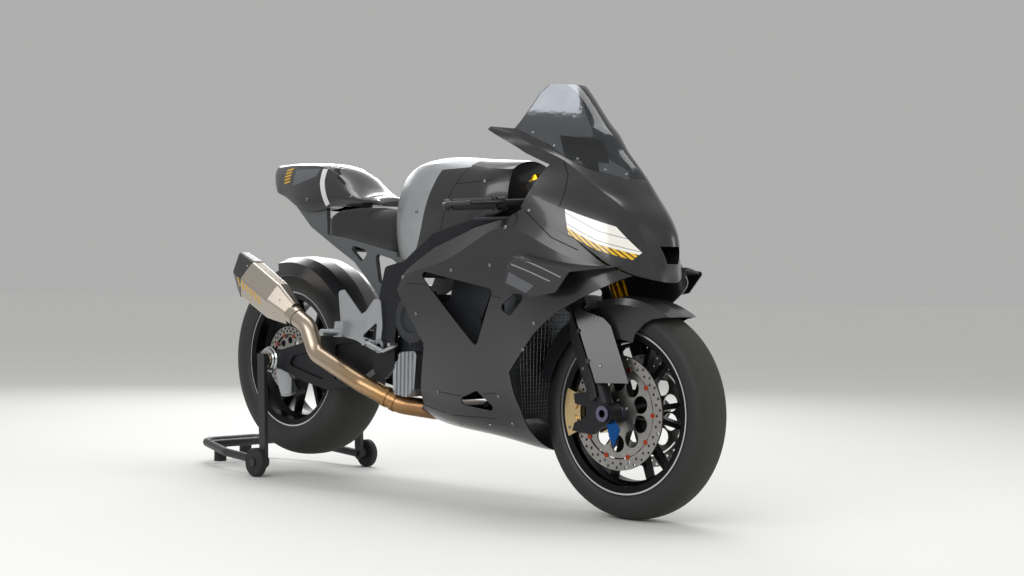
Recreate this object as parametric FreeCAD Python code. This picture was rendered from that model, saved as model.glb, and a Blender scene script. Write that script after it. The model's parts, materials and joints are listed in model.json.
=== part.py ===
import FreeCAD, Part
import math
import os

# A racing sport bike with a full fairing, standing on its front wheel and a rear paddock stand.
# Millimetres. X points forward, Y to the rider's left, Z up. The origin is on the floor, midway
# between the front of the front tyre and the end of the stand's handle.
# A table whose name ends in shares holds places as shares of the size that its piece follows:
# along, measured forward from the rear axle, of the wheelbase, and up, from the floor, of the
# height, unless the comment at the table says otherwise.

V = FreeCAD.Vector

# Main sizes
wheelbase = 1457.0
height = 1229.0
handle_overhang = 470.0
body_half_width = 245.0
panel_wall = 4.0
joint_gap = 0.3
panel_gap = 4.0
seam_gap = 0.6
overrun = 20.0
smallest_edge = 1e-6
corner_room = 0.46
longest_mitre = 1.5

# Steering geometry
rake = math.radians(23.6)
trail = 98.0
leg_offset = 105.0

# Wheels and tyres
front_tyre_radius = 300.0
front_tyre_half_width = 61.0
rear_tyre_radius = 328.0
rear_tyre_half_width = 99.0
rear_wheel_lift = 60.0
crown_steps = 6
tyre_widest_share = 0.36
bead_radius = 216.0
bead_step = 1.0
flange_radius = 230.0
rim_wall = 5.0
rim_shoulder_drop = 3.0
rim_shoulder_share = 0.55
rim_well_share = 0.35
well_depth = 18.0
front_rim_half_width = 51.0
rear_rim_half_width = 86.0
spoke_count = 6
spoke_spread = math.radians(10)
spoke_width = 21.0
spoke_tip_width = 12.6
spoke_root_lean = 0.3
spoke_root_share = 0.8
spoke_depth = 26.0
hub_radius = 38.0
front_hub_half_length = 62.0
rear_hub_half_length = 84.0
running_gap = 0.1
side_gap = 1.0

# Brakes
front_disc_radius = 160.0
front_disc_band = 31.0
disc_thickness = 5.5
front_disc_offset = 66.0
rear_disc_radius = 110.0
rear_disc_band = 26.0
rear_disc_offset = 92.0
bobbin_radius = 8.0
bobbin_count = 10
carrier_thickness = 5.0
carrier_clearance = 2.0
carrier_window_share = 0.28
carrier_window_turn = 0.5
drill_count = 30
drill_radius = 4.0
drill_places = ((0.0, 0.38), (0.5, 0.75))
caliper_outer = 92.0
caliper_inner = 42.0
caliper_depth = 42.0
caliper_wall = 17.0
caliper_side_gap = 6.2
caliper_rim_gap = 5.2
caliper_slot_over = 10.0
piston_cap = 5.0
piston_radius = 15.0
piston_inset = 17.0
piston_shares = (0.3, 0.7)
front_caliper_start, front_caliper_end = 160, 205
rear_caliper_start, rear_caliper_end = 262, 300
rear_caliper_width = 40.0
rear_caliper_overhang = 20.0
hanger_thickness = 10.0
hanger_boss_radius = 14.0

# Axles
front_axle_radius = 17.5
front_axle_bore = 11.0
front_axle_half_length = 127.3
front_axle_flange_radius = 22.0
front_axle_flange = 7.0
rear_axle_radius = 20.0
rear_axle_bore = 13.0
rear_axle_half_length = 190.0
rear_nut_radius = 30.0
rear_nut_length = 18.0

# Fork
fork_tube_radius = 27.0
fork_cap_length = 12.0
fork_cap_radius = 15.0
fork_leg_radius = 21.5
seal_radius = 30.0
seal_length = 24.0
foot_radius = 30.0
foot_half_width = 22.0
bracket_inset = 9.0
leg_top = 340.0
lower_clamp_along = 505.0
upper_clamp_along = 668.0
clamp_thickness = 34.0
clamp_lobe_radius = 38.0
tube_stick_out = 10.0
tube_top = upper_clamp_along + clamp_thickness + tube_stick_out
stem_radius = 17.0
stem_bore = 11.0
head_tube_radius = 31.0
head_tube_gap = 5.5
head_foot = lower_clamp_along + clamp_thickness + head_tube_gap

# Fork guards
guard_wall = 3.0
guard_post_radius = 7.0
guard_post_length = 22.0
guard_post_inset = 14.0
guard_post_ahead = 11.0
guard_post_places = (150.0, 240.0)

# Handlebars, levers and guards
clip_height = 30.0
clip_gap = 10.0
clip_along = upper_clamp_along - clip_gap - clip_height
clip_wall = 9.0
bar_radius = 11.1
bar_half_span = 345.0
bar_sweep = 140.0
bar_drop = 16.0
grip_radius = 16.5
grip_length = 122.0
grip_inset = 8.0
grip_flange = 5.0
grip_flange_radius = 21.5
perch_gap = 8.0
perch_width = 22.0
perch_reach = 18.0
lever_thickness = 9.0
lever_reach = 62.0
lever_elbow = 22.0
lever_splay = 14.0
lever_end_inset = 18.0
lever_bend = 20.0
guard_radius = 7.0
guard_step = 16.0
guard_reach = 28.0
guard_elbow = 60.0
guard_end_inset = 40.0
guard_bend = 22.0
guard_plug = 14.0

# Front fender, around the front axle
fender_radius = 322.0
fender_shoulder_drop = 4.0
fender_side_drop = 22.0
fender_skirt = 96.0
fender_half_width = 78.0
fender_crown_half_width = 60.0
fender_wall = 3.0
fender_start, fender_sweep = 57.0, 107.0
fender_boss_radius = 12.0
fender_boss_along = 281.0

# Chain drive
chain_offset = 114.0
chain_half_width = 8.0
chain_pitch = 15.875
chain_height = 15.0
rear_teeth = 44
front_teeth = 17
tooth_height = 5.0
sprocket_thickness = 6.0
tooth_gap = 0.6
tooth_rise_share = 0.3
tooth_fall_share = 0.55
link_waist_share = 0.62
sprocket_window_count = 6
sprocket_window_radius = 17.0
carrier_rim = 14.0
front_sprocket_shaft = 15.0

# Swingarm and frame
arm_offset = 148.0
arm_half_thickness = 18.0
arm_corner = 16.0
arm_window_depth = 8.0
pivot_radius = 15.0
pivot_tube_radius = 30.0
pivot_head_length = 10.0
pivot_head_radius = 22.5
pivot_bolt_bore = 9.0
shock_lug_half_width = 16.0
plate_inner = 171.0
plate_thickness = 14.0
plate_corner = 18.0
spar_thickness = 34.0
spar_corner = 10.0
spar_lean = math.radians(14)
spar_head_rise = 46.0
spar_head_back = 36.0
spar_head_side = 38.0
spar_head_depth = 60.0
tie_radius = 16.0
hanger_plate = 12.0
gusset_half_width = 58.0
subframe_offset = 92.0
subframe_half_thickness = 8.0
subframe_tie_radius = 9.0
subframe_bolt_radius = 12.0

# Rear shock
shock_rod_radius = 9.0
shock_body_radius = 26.0
coil_radius = 34.0
coil_wire = 11.0
coil_count = 7
spring_seat_radius = 38.0
spring_seat = 6.0
shock_start_share = 0.1
shock_body_share = 0.68
spring_seat_shares = (0.07, 0.77)

# Rear hugger, around the rear axle
hugger_half_width = 103.5
hugger_gap = 14.0
hugger_crown = 8.0
hugger_shoulder_places = ((101.0, 14.0), (56.0, -4.0))
hugger_skirt = 58.0
hugger_wall = 3.0
hugger_start, hugger_sweep = 12.0, 88.0
hugger_lug_radius = 10.0
hugger_lug_angle = 15.5
hugger_lug_drop = 46.0

# Engine
case_half_width = 148.0
head_half_width = 144.0
case_corner = 24.0
tunnel_side = 98.0
clutch_radius = 82.0
clutch_depth = 68.0
cover_bolt_count = 8
cover_bolt_radius = 9.0
cover_bolt_turn = 0.44
generator_radius = 62.0
generator_depth = 52.0
sump_depth = 46.0
sump_rib_count = 5
sump_rib_width = 6.0
sump_rib_pitch = 17.5
sump_rib_height = 5.0
sump_rib_length = 140.0

# Radiator
radiator_half_width = 186.0
radiator_foot_half_width = 116.0
radiator_thickness = 30.0
radiator_stay_side = 75.0
radiator_stay_radius = 8.0
slat_count = 17
slat_thickness = 3.0
slat_depth = 7.0
radiator_waist_share = 0.45
radiator_core_share = 0.93
radiator_slat_share = 0.98

# Exhaust
port_pitch = 88.0
port_numbers = (-1.5, -0.5, 0.5, 1.5)
header_waist_share = 0.85
collector_entry_share = 0.6
header_radius = 19.0
header_bend_radius = 70.0
port_reach = 70.0
port_drop = 16.0
collector_right, collector_left = -95.0, 80.0
collector_corner = 16.0
link_radius = 29.0
link_bend = 60.0
link_band_radius = 32.0
link_band_places = (14.5, 46.0)
muffler_half_height = 66.0
muffler_half_width = 52.0
muffler_corner = 16.0
muffler_offset = 228.0
muffler_front_offset = 215.0
muffler_neck_wall = 3.0
muffler_neck_share = 0.05
muffler_cap_length = 78.0
muffler_cap_floor = 12.0
muffler_slant = 62.0
outlet_radius = 34.0
outlet_wall = 3.0
outlet_start_share = 0.3

# Foot controls
rearset_plate = 8.0
heel_guard_wall = 4.0
peg_radius = 11.0
peg_length = 82.0
peg_lug = 18.0
pedal_radius = 6.0
pedal_offset = 20.0
pedal_splay = 6.0
pedal_pad = 36.0
pedal_bend = 12.0

# Bodywork
nose_wall = 4.0
mouth_half_width = 46.0
mouth_height = 56.0
mouth_foot_share = 0.6
duct_half_width = 45.0
duct_corner = 4.0
dash_half_width = 85.0
dash_stay_half_width = 22.0
seat_half_width = 100.0
seat_corner = 14.0
opening_corner = 12.0
wing_plate = 4.0
wing_thickness = 9.0
wing_rise_share = 0.2
wing_crest_share = 0.3
wing_plate_side = 284.0
wing_corner = 8.0
tail_core_share = 0.94
tail_well_half_width = 60.0

# Paddock stand
stand_wheel_radius = 48.0
stand_wheel_width = 26.0
stand_wheel_along = 20.0
stand_wheel_edge = 5.0
stand_tube_radius = 14.0
stand_bend = 60.0
stand_arm_offset = 206.0
stand_handle_half_width = 120.0
stand_cross_half_width = 150.0
stand_post_half_thickness = 7.0
stand_pin_gap = 0.5
stand_pin_depth = 16.0
stand_bolt_radius = 8.0
stand_boss_radius = 20.0
stand_boss_gap = 6.0
stand_washer = 4.0
stand_foot_radius = 22.0
stand_foot_offset = 55.0
stand_foot_bite = 4.0

# Profiles in shares of the piece's own sizes: covers as (out, radius), the muffler's section as
# (sideways, up) with its stations as (along, scale), the clamps' web as (side, ahead), shares of
# the leg's offset and the lobe's radius, and the gusset as (up, back) from the head tube's foot,
# shares of the head tube's length.
clutch_profile_shares = ((0, 0), (0, 1), (0.62, 1), (0.9, 0.9), (1, 0.78), (1, 0.55), (0.9, 0.5), (0.9, 0))
generator_profile_shares = ((0, 0), (0, 1), (0.7, 1), (1, 0.8), (1, 0))
muffler_section_shares = ((0.45, 1), (-0.45, 1), (-1, 0.05), (-0.5, -1), (0.5, -1), (1, 0.05))
muffler_station_shares = ((0.7, 0.97), (0.97, 0.6))
cap_outer_shares = (0.93, 1.03)
cap_inner_shares = (0.8, 0.9)
clamp_web_shares = ((-1, 0.9), (1, 0.9), (1, -0.8), (0.42, -1.9), (-0.42, -1.9), (-1, -0.8))
gusset_shares = ((0.63, 0.20), (0.78, 0.69), (0.53, 0.93), (0.18, 0.40))

# Plates that hang on an axle: (forward, up) from the axle, as shares of the piece's own radius.
# The front bracket's are shares of the disc's radius, the rear hanger's of the rear disc's and the
# stand post's of the rear axle's height.
bracket_shares = ((0.075, -0.14), (-0.375, -0.39), (-0.80, -0.35), (-0.75, -0.21), (-0.475, -0.088),
    (-0.475, 0.088), (-0.74, 0.125), (-0.775, 0.30), (-0.31, 0.36))
hanger_shares = ((-0.22, -0.31), (0.31, -0.31), (0.58, -0.58), (0.56, -1.02), (0.07, -1.11),
    (-0.13, -0.73))
post_shares = ((-0.052, 0.052), (0.052, 0.052), (0.088, -0.889), (0.010, -0.889))
peg_lug_shares = ((-1.8, -1.3), (2.0, -1.3), (2.7, 3.1), (-1.1, 3.1))

# Fork guards: edge lines as (ahead, side) shares of the leg's offset, and outlines as (along the
# leg, the way from one edge line to the other) shares of the leg's top and of that way.
guard_front_edge_shares = ((0.838, 0.876), (0.133, 1.314))
# Edge of the front fender's sides, (ahead, up) from the axle in shares of its radius
fender_edge_shares = (
    (1.250, 0.832), (0.512, 0.832), (0.398, 0.814), (0.311, 0.776), (0.211, 0.686), (0.174, 0.599),
    (-0.093, 0.624), (-0.311, 0.689), (-0.407, 0.705), (-0.575, 0.575), (-0.702, 0.407),
    (-0.783, 0.224), (-0.783, -0.200), (1.250, -0.200),
)
guard_rear_edge_shares = ((0.076, 1.333), (-0.400, 1.143))
guard_front_shares = ((0.160, 0), (0.250, 1), (0.860, 1), (0.894, 0.85), (0.740, 0.15), (0.660, 0))
guard_rear_shares = ((0.141, 0.2), (0.141, 0.9), (0.353, 1), (0.735, 1), (0.882, 0.1), (0.265, 0))

# Bodywork sections. A hull station has its place along, then (side, up) points from the top edge
# round to the middle, side as a share of the body's half width. A nose station has its height,
# then (along, side) points from the rear edge round to the middle. Creases are counted points.
hull_creases = (1, 3)
hull_station_shares = (
    (0.474, ((0.849, 0.590), (0.939, 0.521), (0.922, 0.407), (0.800, 0.285), (0.490, 0.213),
        (0.000, 0.192))),
    (0.590, ((0.841, 0.644), (0.980, 0.570), (0.943, 0.431), (0.837, 0.273), (0.555, 0.191),
        (0.000, 0.168))),
    (0.714, ((0.833, 0.685), (0.992, 0.622), (0.955, 0.464), (0.849, 0.285), (0.522, 0.181),
        (0.000, 0.151))),
    (0.810, ((0.841, 0.716), (0.980, 0.661), (0.971, 0.521), (0.857, 0.313), (0.457, 0.176),
        (0.000, 0.137))),
    (0.892, ((0.833, 0.700), (0.939, 0.628), (0.963, 0.504), (0.906, 0.358), (0.694, 0.228),
        (0.000, 0.163))),
    (0.975, ((0.702, 0.675), (0.841, 0.587), (0.882, 0.504), (0.857, 0.407), (0.694, 0.269),
        (0.000, 0.203))),
    (1.064, ((0.245, 0.602), (0.416, 0.553), (0.580, 0.504), (0.629, 0.439), (0.571, 0.342),
        (0.000, 0.269))),
)
nose_creases = (3,)
nose_station_shares = (
    (0.533, ((0.817, 0.935), (0.906, 0.882), (0.999, 0.686), (1.079, 0.196), (1.086, 0.131),
        (1.089, 0.065), (1.090, 0.000))),
    (0.584, ((0.813, 0.939), (0.899, 0.898), (0.992, 0.718), (1.075, 0.224), (1.086, 0.147),
        (1.094, 0.073), (1.097, 0.000))),
    (0.633, ((0.806, 0.939), (0.889, 0.906), (0.973, 0.751), (1.061, 0.278), (1.079, 0.188),
        (1.093, 0.090), (1.098, 0.000))),
    (0.688, ((0.793, 0.935), (0.872, 0.894), (0.953, 0.751), (1.036, 0.359), (1.054, 0.229),
        (1.068, 0.114), (1.075, 0.000))),
    (0.745, ((0.776, 0.927), (0.848, 0.873), (0.914, 0.735), (0.978, 0.482), (1.006, 0.294),
        (1.027, 0.147), (1.038, 0.000))),
    (0.784, ((0.758, 0.918), (0.824, 0.865), (0.883, 0.743), (0.938, 0.559), (0.971, 0.343),
        (0.997, 0.171), (1.013, 0.000))),
    (0.819, ((0.745, 0.910), (0.800, 0.853), (0.848, 0.751), (0.895, 0.620), (0.933, 0.400),
        (0.965, 0.204), (0.986, 0.000))),
    (0.842, ((0.728, 0.898), (0.770, 0.841), (0.811, 0.759), (0.850, 0.673), (0.902, 0.465),
        (0.940, 0.253), (0.968, 0.000))),
    (0.869, ((0.714, 0.882), (0.744, 0.841), (0.774, 0.788), (0.804, 0.727), (0.875, 0.506),
        (0.923, 0.278), (0.950, 0.000))),
    (0.898, ((0.686, 0.865), (0.701, 0.845), (0.717, 0.820), (0.732, 0.796), (0.830, 0.571),
        (0.899, 0.294), (0.928, 0.000))),
    (0.960, ((0.659, 0.776), (0.676, 0.751), (0.693, 0.722), (0.710, 0.686), (0.796, 0.441),
        (0.859, 0.253), (0.884, 0.000))),
    (1.009, ((0.638, 0.653), (0.655, 0.629), (0.673, 0.600), (0.690, 0.563), (0.755, 0.343),
        (0.809, 0.188), (0.828, 0.000))),
)
screen_seam_shares = ((1.126, 0.765), (1.030, 0.770), (0.997, 0.773), (0.947, 0.792), (0.890, 0.827),
    (0.854, 0.856), (0.784, 0.893))
screen_top_shares = ((0.789, 0.910), (0.799, 0.978), (0.811, 1.000), (1.126, 1.000))
ear_shares = ((0.732, 0.900), (0.729, 0.893), (0.826, 0.832), (0.881, 0.804), (0.873, 0.788))
nose_seam_shares = ((0.839, 0.705), (0.896, 0.669), (0.964, 0.632), (1.019, 0.579), (1.060, 0.552))
nose_front_shares = ((1.126, 0.521),)
lamp_shares = ((0.934, 0.701), (0.948, 0.643), (0.999, 0.609), (1.053, 0.587), (1.062, 0.604),
    (1.024, 0.661))
mouth_share = (1.084, 0.599)
fairing_top_shares = ((0.488, 0.513), (0.515, 0.561), (0.592, 0.616), (0.707, 0.662), (0.800, 0.680))
fairing_front_shares = ((1.032, 0.530), (0.931, 0.463), (0.880, 0.417), (0.806, 0.328), (0.817, 0.244))
belly_seam_shares = ((0.810, 0.192), (0.618, 0.213), (0.532, 0.233))
fairing_rear_shares = ((0.568, 0.381),)
side_opening_shares = ((0.553, 0.563), (0.776, 0.518), (0.721, 0.381))
vent_shares = ((0.789, 0.476), (0.834, 0.509), (0.865, 0.506), (0.820, 0.456))
slot_shares = ((0.638, 0.246), (0.763, 0.229), (0.712, 0.279))
belly_low_shares = ((0.475, 0.205), (0.475, 0.163), (0.583, 0.114), (0.809, 0.114))

# Wings: the blade's front edge as (along, up, side) with its depth as a share of the wheelbase, and
# the end plate's outline.
wing_blade_shares = (
    (1.054, 0.573, 0.58, 0.170),
    (1.031, 0.566, 0.90, 0.158),
    (1.003, 0.558, 1.17, 0.144),
)
wing_plate_shares = ((1.012, 0.565), (0.997, 0.544), (0.975, 0.514), (0.913, 0.502), (0.839, 0.531),
    (0.855, 0.583), (0.866, 0.587))

# Tank and tail: (side, up) points from the lower edge to the middle of the top
tank_creases = (3,)
tank_station_shares = (
    (0.382, ((0.347, 0.589), (0.408, 0.651), (0.392, 0.732), (0.245, 0.801), (0.139, 0.814),
        (0.000, 0.819))),
    (0.426, ((0.482, 0.589), (0.522, 0.675), (0.498, 0.753), (0.359, 0.817), (0.196, 0.832),
        (0.000, 0.836))),
    (0.480, ((0.563, 0.592), (0.580, 0.683), (0.604, 0.757), (0.457, 0.825), (0.253, 0.841),
        (0.000, 0.847))),
    (0.549, ((0.596, 0.609), (0.596, 0.692), (0.616, 0.761), (0.465, 0.826), (0.253, 0.841),
        (0.000, 0.846))),
    (0.631, ((0.588, 0.651), (0.600, 0.701), (0.584, 0.757), (0.433, 0.817), (0.229, 0.832),
        (0.000, 0.837))),
    (0.721, ((0.400, 0.710), (0.424, 0.732), (0.408, 0.765), (0.335, 0.806), (0.180, 0.822),
        (0.000, 0.828))),
)
tank_rear_shares = ((0.329, 0.561), (0.449, 0.561), (0.502, 0.700), (0.535, 0.773), (0.547, 0.810),
    (0.618, 0.814), (0.626, 0.862), (0.329, 0.862))
tail_creases = (2,)
tail_station_shares = (
    (0.310, ((0.269, 0.729), (0.310, 0.733), (0.286, 0.738), (0.155, 0.742), (0.000, 0.744))),
    (0.261, ((0.359, 0.735), (0.400, 0.742), (0.327, 0.754), (0.180, 0.759), (0.000, 0.761))),
    (0.213, ((0.408, 0.736), (0.437, 0.753), (0.335, 0.777), (0.184, 0.784), (0.000, 0.786))),
    (0.165, ((0.433, 0.731), (0.461, 0.765), (0.335, 0.816), (0.184, 0.824), (0.000, 0.827))),
    (0.117, ((0.457, 0.721), (0.482, 0.769), (0.343, 0.839), (0.184, 0.847), (0.000, 0.849))),
    (0.041, ((0.441, 0.732), (0.465, 0.779), (0.327, 0.848), (0.171, 0.855), (0.000, 0.857))),
    (-0.041, ((0.343, 0.769), (0.367, 0.804), (0.261, 0.851), (0.139, 0.858), (0.000, 0.859))),
    (-0.089, ((0.237, 0.807), (0.261, 0.823), (0.196, 0.853), (0.106, 0.858), (0.000, 0.860))),
)
tail_well_shares = ((0.062, 0.700), (0.172, 0.700), (0.172, 0.757), (0.062, 0.761))
seat_floor_shares = ((0.379, 0.608), (0.206, 0.648), (0.143, 0.657))
seat_top_shares = ((0.141, 0.714), (0.165, 0.726), (0.213, 0.731), (0.261, 0.729), (0.305, 0.723),
    (0.343, 0.725), (0.380, 0.723))

# Frame, engine and running gear
subframe_front_shares = ((0.382, 0.596), (0.439, 0.591), (0.439, 0.529), (0.384, 0.496), (0.336, 0.478),
    (0.309, 0.511), (0.239, 0.583), (0.165, 0.627), (0.082, 0.679))
subframe_rear_shares = ((0.027, 0.736), (0.137, 0.736))
subframe_window_shares = (
    ((0.206, 0.635), (0.288, 0.612), (0.264, 0.582)),
    ((0.309, 0.606), (0.384, 0.586), (0.357, 0.521), (0.323, 0.529)),
)
subframe_tie_shares = ((0.426, 0.553), (0.206, 0.618), (0.082, 0.697))
spar_stations = (
    (0.755, 0.661, 0.41, 0.062),
    (0.673, 0.647, 0.70, 0.085),
    (0.563, 0.609, 0.77, 0.092),
    (0.474, 0.544, 0.755, 0.086),
)
pivot_plate_shares = ((0.412, 0.570), (0.480, 0.586), (0.501, 0.537), (0.458, 0.472), (0.446, 0.391),
    (0.446, 0.317), (0.412, 0.286), (0.379, 0.303), (0.371, 0.366), (0.384, 0.456))
frame_tie_share = (0.420, 0.488)
case_shares = ((0.431, 0.456), (0.431, 0.285), (0.494, 0.249), (0.638, 0.249), (0.686, 0.301),
    (0.679, 0.456), (0.590, 0.488))
cylinder_shares = ((0.577, 0.456), (0.607, 0.592), (0.707, 0.592), (0.710, 0.521), (0.676, 0.439))
chain_tunnel_shares = ((0.419, 0.313), (0.507, 0.313), (0.507, 0.443), (0.419, 0.443))
clutch_share = (0.518, 0.443)
generator_share = (0.590, 0.350)
sump_shares = ((0.450, 0.254), (0.449, 0.309), (0.474, 0.358), (0.522, 0.363), (0.516, 0.269),
    (0.494, 0.247))
sump_rib_share = (0.458, 0.247)
hanger_plate_shares = ((0.635, 0.643), (0.676, 0.636), (0.669, 0.537), (0.645, 0.533))
radiator_foot_share = (0.770, 0.213)
radiator_top_share = (0.798, 0.504)
radiator_stay_share = (0.782, 0.480)
port_share = (0.701, 0.561)
header_bend_share = (0.736, 0.496)
header_low_share = (0.711, 0.269)
collector_share = (0.604, 0.210)
collector_shares = ((0.489, 0.203), (0.618, 0.192), (0.626, 0.233), (0.489, 0.233))
link_route = (
    ((0.530, 0.213), 40.0), ((0.504, 0.213), 92.0), ((0.450, 0.225), 160.0), ((0.357, 0.273), 206.0),
    ((0.206, 0.342), 212.0),
)
muffler_rear_share = (-0.071, 0.563)
muffler_front_share = (0.130, 0.439)
arm_shares = ((-0.049, 0.297), (-0.051, 0.337), (0.041, 0.345), (0.172, 0.382), (0.275, 0.407),
    (0.384, 0.407), (0.420, 0.382), (0.420, 0.350), (0.384, 0.325), (0.302, 0.269),
    (0.213, 0.244), (0.124, 0.262), (0.034, 0.291))
arm_window_shares = (
    ((0.062, 0.305), (0.192, 0.269), (0.206, 0.358), (0.082, 0.330)),
    ((0.226, 0.273), (0.295, 0.289), (0.357, 0.350), (0.343, 0.382), (0.233, 0.366)),
)
brace_shares = ((0.240, 0.316), (0.288, 0.316), (0.292, 0.391), (0.244, 0.382))
pivot_share = (0.402, 0.370)
front_sprocket_share = (0.461, 0.382)
sprocket_cover_shares = ((0.427, 0.319), (0.513, 0.319), (0.513, 0.452), (0.427, 0.452))
shock_foot_share = (0.317, 0.352)
shock_lug_shares = ((0.283, 0.325), (0.323, 0.337), (0.323, 0.365), (0.283, 0.378))
rearset_shares = ((0.384, 0.488), (0.405, 0.488), (0.412, 0.423), (0.405, 0.358), (0.384, 0.358),
    (0.323, 0.382), (0.271, 0.391), (0.268, 0.411), (0.323, 0.439), (0.357, 0.456))
rearset_hole_shares = (((0.343, 0.391), (0.391, 0.382), (0.395, 0.431)),)
heel_guard_shares = ((0.263, 0.507), (0.283, 0.510), (0.352, 0.439), (0.323, 0.407), (0.275, 0.407))
peg_share = (0.276, 0.400)
pedal_root_share = (0.364, 0.379)
pedal_middle_share = (0.426, 0.358)
pedal_tip_share = (0.476, 0.377)
duct_low_shares = ((0.813, 0.692), (0.913, 0.683), (1.016, 0.583))
duct_top_shares = ((1.030, 0.618), (0.940, 0.719), (0.813, 0.723))
dash_shares = ((0.866, 0.822), (0.879, 0.817), (0.861, 0.875), (0.850, 0.879))
stay_shares = ((0.884, 0.701), (0.910, 0.693), (0.885, 0.823), (0.870, 0.823))

# The stand
stand_knee_share = (-0.137, 0.050)
stand_rear_share = (-0.313, 0.060)
stand_cross_share = (-0.257, 0.058)

front_axle_x = (wheelbase + front_tyre_radius + handle_overhang) / 2 - front_tyre_radius
rear_axle_x = front_axle_x - wheelbase
rear_axle_height = rear_tyre_radius + rear_wheel_lift
clamp_offset = front_tyre_radius * math.sin(rake) - trail * math.cos(rake)
up_fork = V(-math.sin(rake), 0, math.cos(rake))
ahead_of_fork = V(math.cos(rake), 0, math.sin(rake))
spar_tilt = V(math.sin(spar_lean), 0, math.cos(spar_lean))
ALONG_Y = V(0, 1, 0)
ALONG_Z = V(0, 0, 1)
front_axle = V(front_axle_x, 0, front_tyre_radius)
rear_axle = V(rear_axle_x, 0, rear_axle_height)
stand_wheel_centre = V(rear_axle_x + stand_wheel_along, 0, stand_wheel_radius)


def spot(shares, side=0.0):
    """A place from its shares along and up, at a sideways distance."""
    along, up = shares
    return V(rear_axle_x + along * wheelbase, side, up * height)


def on_fork(along, side=0.0, ahead=0.0):
    """A place in the fork's own frame, from the front axle."""
    return front_axle + up_fork * along + ahead_of_fork * ahead + V(0, side, 0)


def corner_arc(before, corner, after, radius):
    """The three points of the arc that rounds a corner, smaller where the edges are short."""
    back, on = before - corner, after - corner
    half = back.getAngle(on) / 2
    reach = min(radius / math.tan(half), corner_room * min(back.Length, on.Length))
    back.normalize()
    on.normalize()
    middle = back + on
    middle.normalize()
    inset = reach / math.cos(half) - reach * math.tan(half)
    return corner + back * reach, corner + middle * inset, corner + on * reach


def rounded(points, radius):
    """A closed wire through the points with rounded corners."""
    count = len(points)
    arcs = []
    for i in range(count):
        arcs.append(corner_arc(points[i - 1], points[i], points[(i + 1) % count], radius))
    edges = []
    for i, (start, middle, end) in enumerate(arcs):
        edges.append(Part.Arc(start, middle, end).toShape())
        following = arcs[(i + 1) % count][0]
        if (following - end).Length > smallest_edge:
            edges.append(Part.LineSegment(end, following).toShape())
    return Part.Wire(edges)


def polygon(points):
    return Part.makePolygon(points + [points[0]])


def slab(shares, low, high, radius=0.0):
    """A plate with an outline in the side view, from one sideways place to another."""
    points = [spot(share, low) for share in shares]
    wire = rounded(points, radius) if radius else polygon(points)
    return Part.Face(wire).extrude(V(0, high - low, 0))


def slab_at(centre, shares, size, low, high):
    """A plate in the side view whose outline is in shares of a size, from a centre."""
    points = [V(centre.x + x * size, low, centre.z + z * size) for x, z in shares]
    return Part.Face(polygon(points)).extrude(V(0, high - low, 0))


def side_view_cutter(shares):
    """A cutter as wide as the bike: everything behind an outline of the side view."""
    return slab(shares, -2 * body_half_width, 2 * body_half_width)


def drum(centre, radius, low, high, bore=0.0):
    """A round boss along Y at a centre, between two sideways places."""
    low, high = sorted((low, high))
    start = V(centre.x, low, centre.z)
    solid = Part.makeCylinder(radius, high - low, start, ALONG_Y)
    if bore:
        start = V(centre.x, low - overrun, centre.z)
        solid = solid.cut(Part.makeCylinder(bore, high - low + 2 * overrun, start, ALONG_Y))
    return solid


def turned(centre, profile):
    """A solid of revolution about the Y line through a centre. Profile points are (side, radius)."""
    points = [V(centre.x, side, centre.z + radius) for side, radius in profile]
    return Part.Face(polygon(points)).revolve(centre, ALONG_Y, 360)


def turned_along(start, way, profile):
    """A solid of revolution about a leaning line. Profile points are (along, radius)."""
    points = [V(radius, 0, along) for along, radius in profile]
    solid = Part.Face(polygon(points)).revolve(V(0, 0, 0), ALONG_Z, 360)
    solid.Placement = FreeCAD.Placement(start, FreeCAD.Rotation(ALONG_Z, way))
    return solid


def path_of(points, bend):
    """An open path of straight runs with tangent arcs at its inner points."""
    edges = []
    last = points[0]
    for i in range(1, len(points) - 1):
        start, middle, end = corner_arc(points[i - 1], points[i], points[i + 1], bend)
        edges.append(Part.LineSegment(last, start).toShape())
        edges.append(Part.Arc(start, middle, end).toShape())
        last = end
    edges.append(Part.LineSegment(last, points[-1]).toShape())
    return Part.Wire(edges)


def bent_tube(points, radius, bend):
    """A round bar along straight runs and tangent arcs."""
    ring = Part.Wire(Part.makeCircle(radius, points[0], points[1] - points[0]))
    return path_of(points, bend).makePipeShell([ring], True, False)


def mirrored(shape):
    return shape.mirror(V(0, 0, 0), ALONG_Y)


def pair(shape):
    """A right-hand piece and its left-hand twin, as solids that don't touch."""
    return Part.makeCompound([shape, mirrored(shape)])


def joined(shapes):
    """One solid from pieces that overlap."""
    return shapes[0].multiFuse(shapes[1:]).removeSplitter()


def biggest(shape):
    return max(shape.Solids, key=lambda solid: solid.Volume)


def turn_point(centre, angle, reach):
    """A point around a Y axis through a centre, from an angle above straight ahead."""
    return centre + V(math.cos(angle), 0, math.sin(angle)) * reach


def around(centre, count, reach, start=0.0):
    """Points evenly spaced on a circle round a Y axis, the first at a share of one step."""
    return [turn_point(centre, 2 * math.pi * (i + start) / count, reach) for i in range(count)]


def sector(centre, inner, outer, start, end, low, high):
    """Part of a ring about Y, between two angles above straight ahead."""
    middle = (start + end) / 2
    corners = [(inner, start), (outer, start), (outer, middle), (outer, end), (inner, end), (inner, middle)]
    p = []
    for reach, angle in corners:
        p.append(turn_point(centre, math.radians(angle), reach) + V(0, low - centre.y, 0))
    edges = [Part.makeLine(p[0], p[1]), Part.Arc(p[1], p[2], p[3]).toShape(), Part.makeLine(p[3], p[4]),
             Part.Arc(p[4], p[5], p[0]).toShape()]
    return Part.Face(Part.Wire(edges)).extrude(V(0, high - low, 0))


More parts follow.
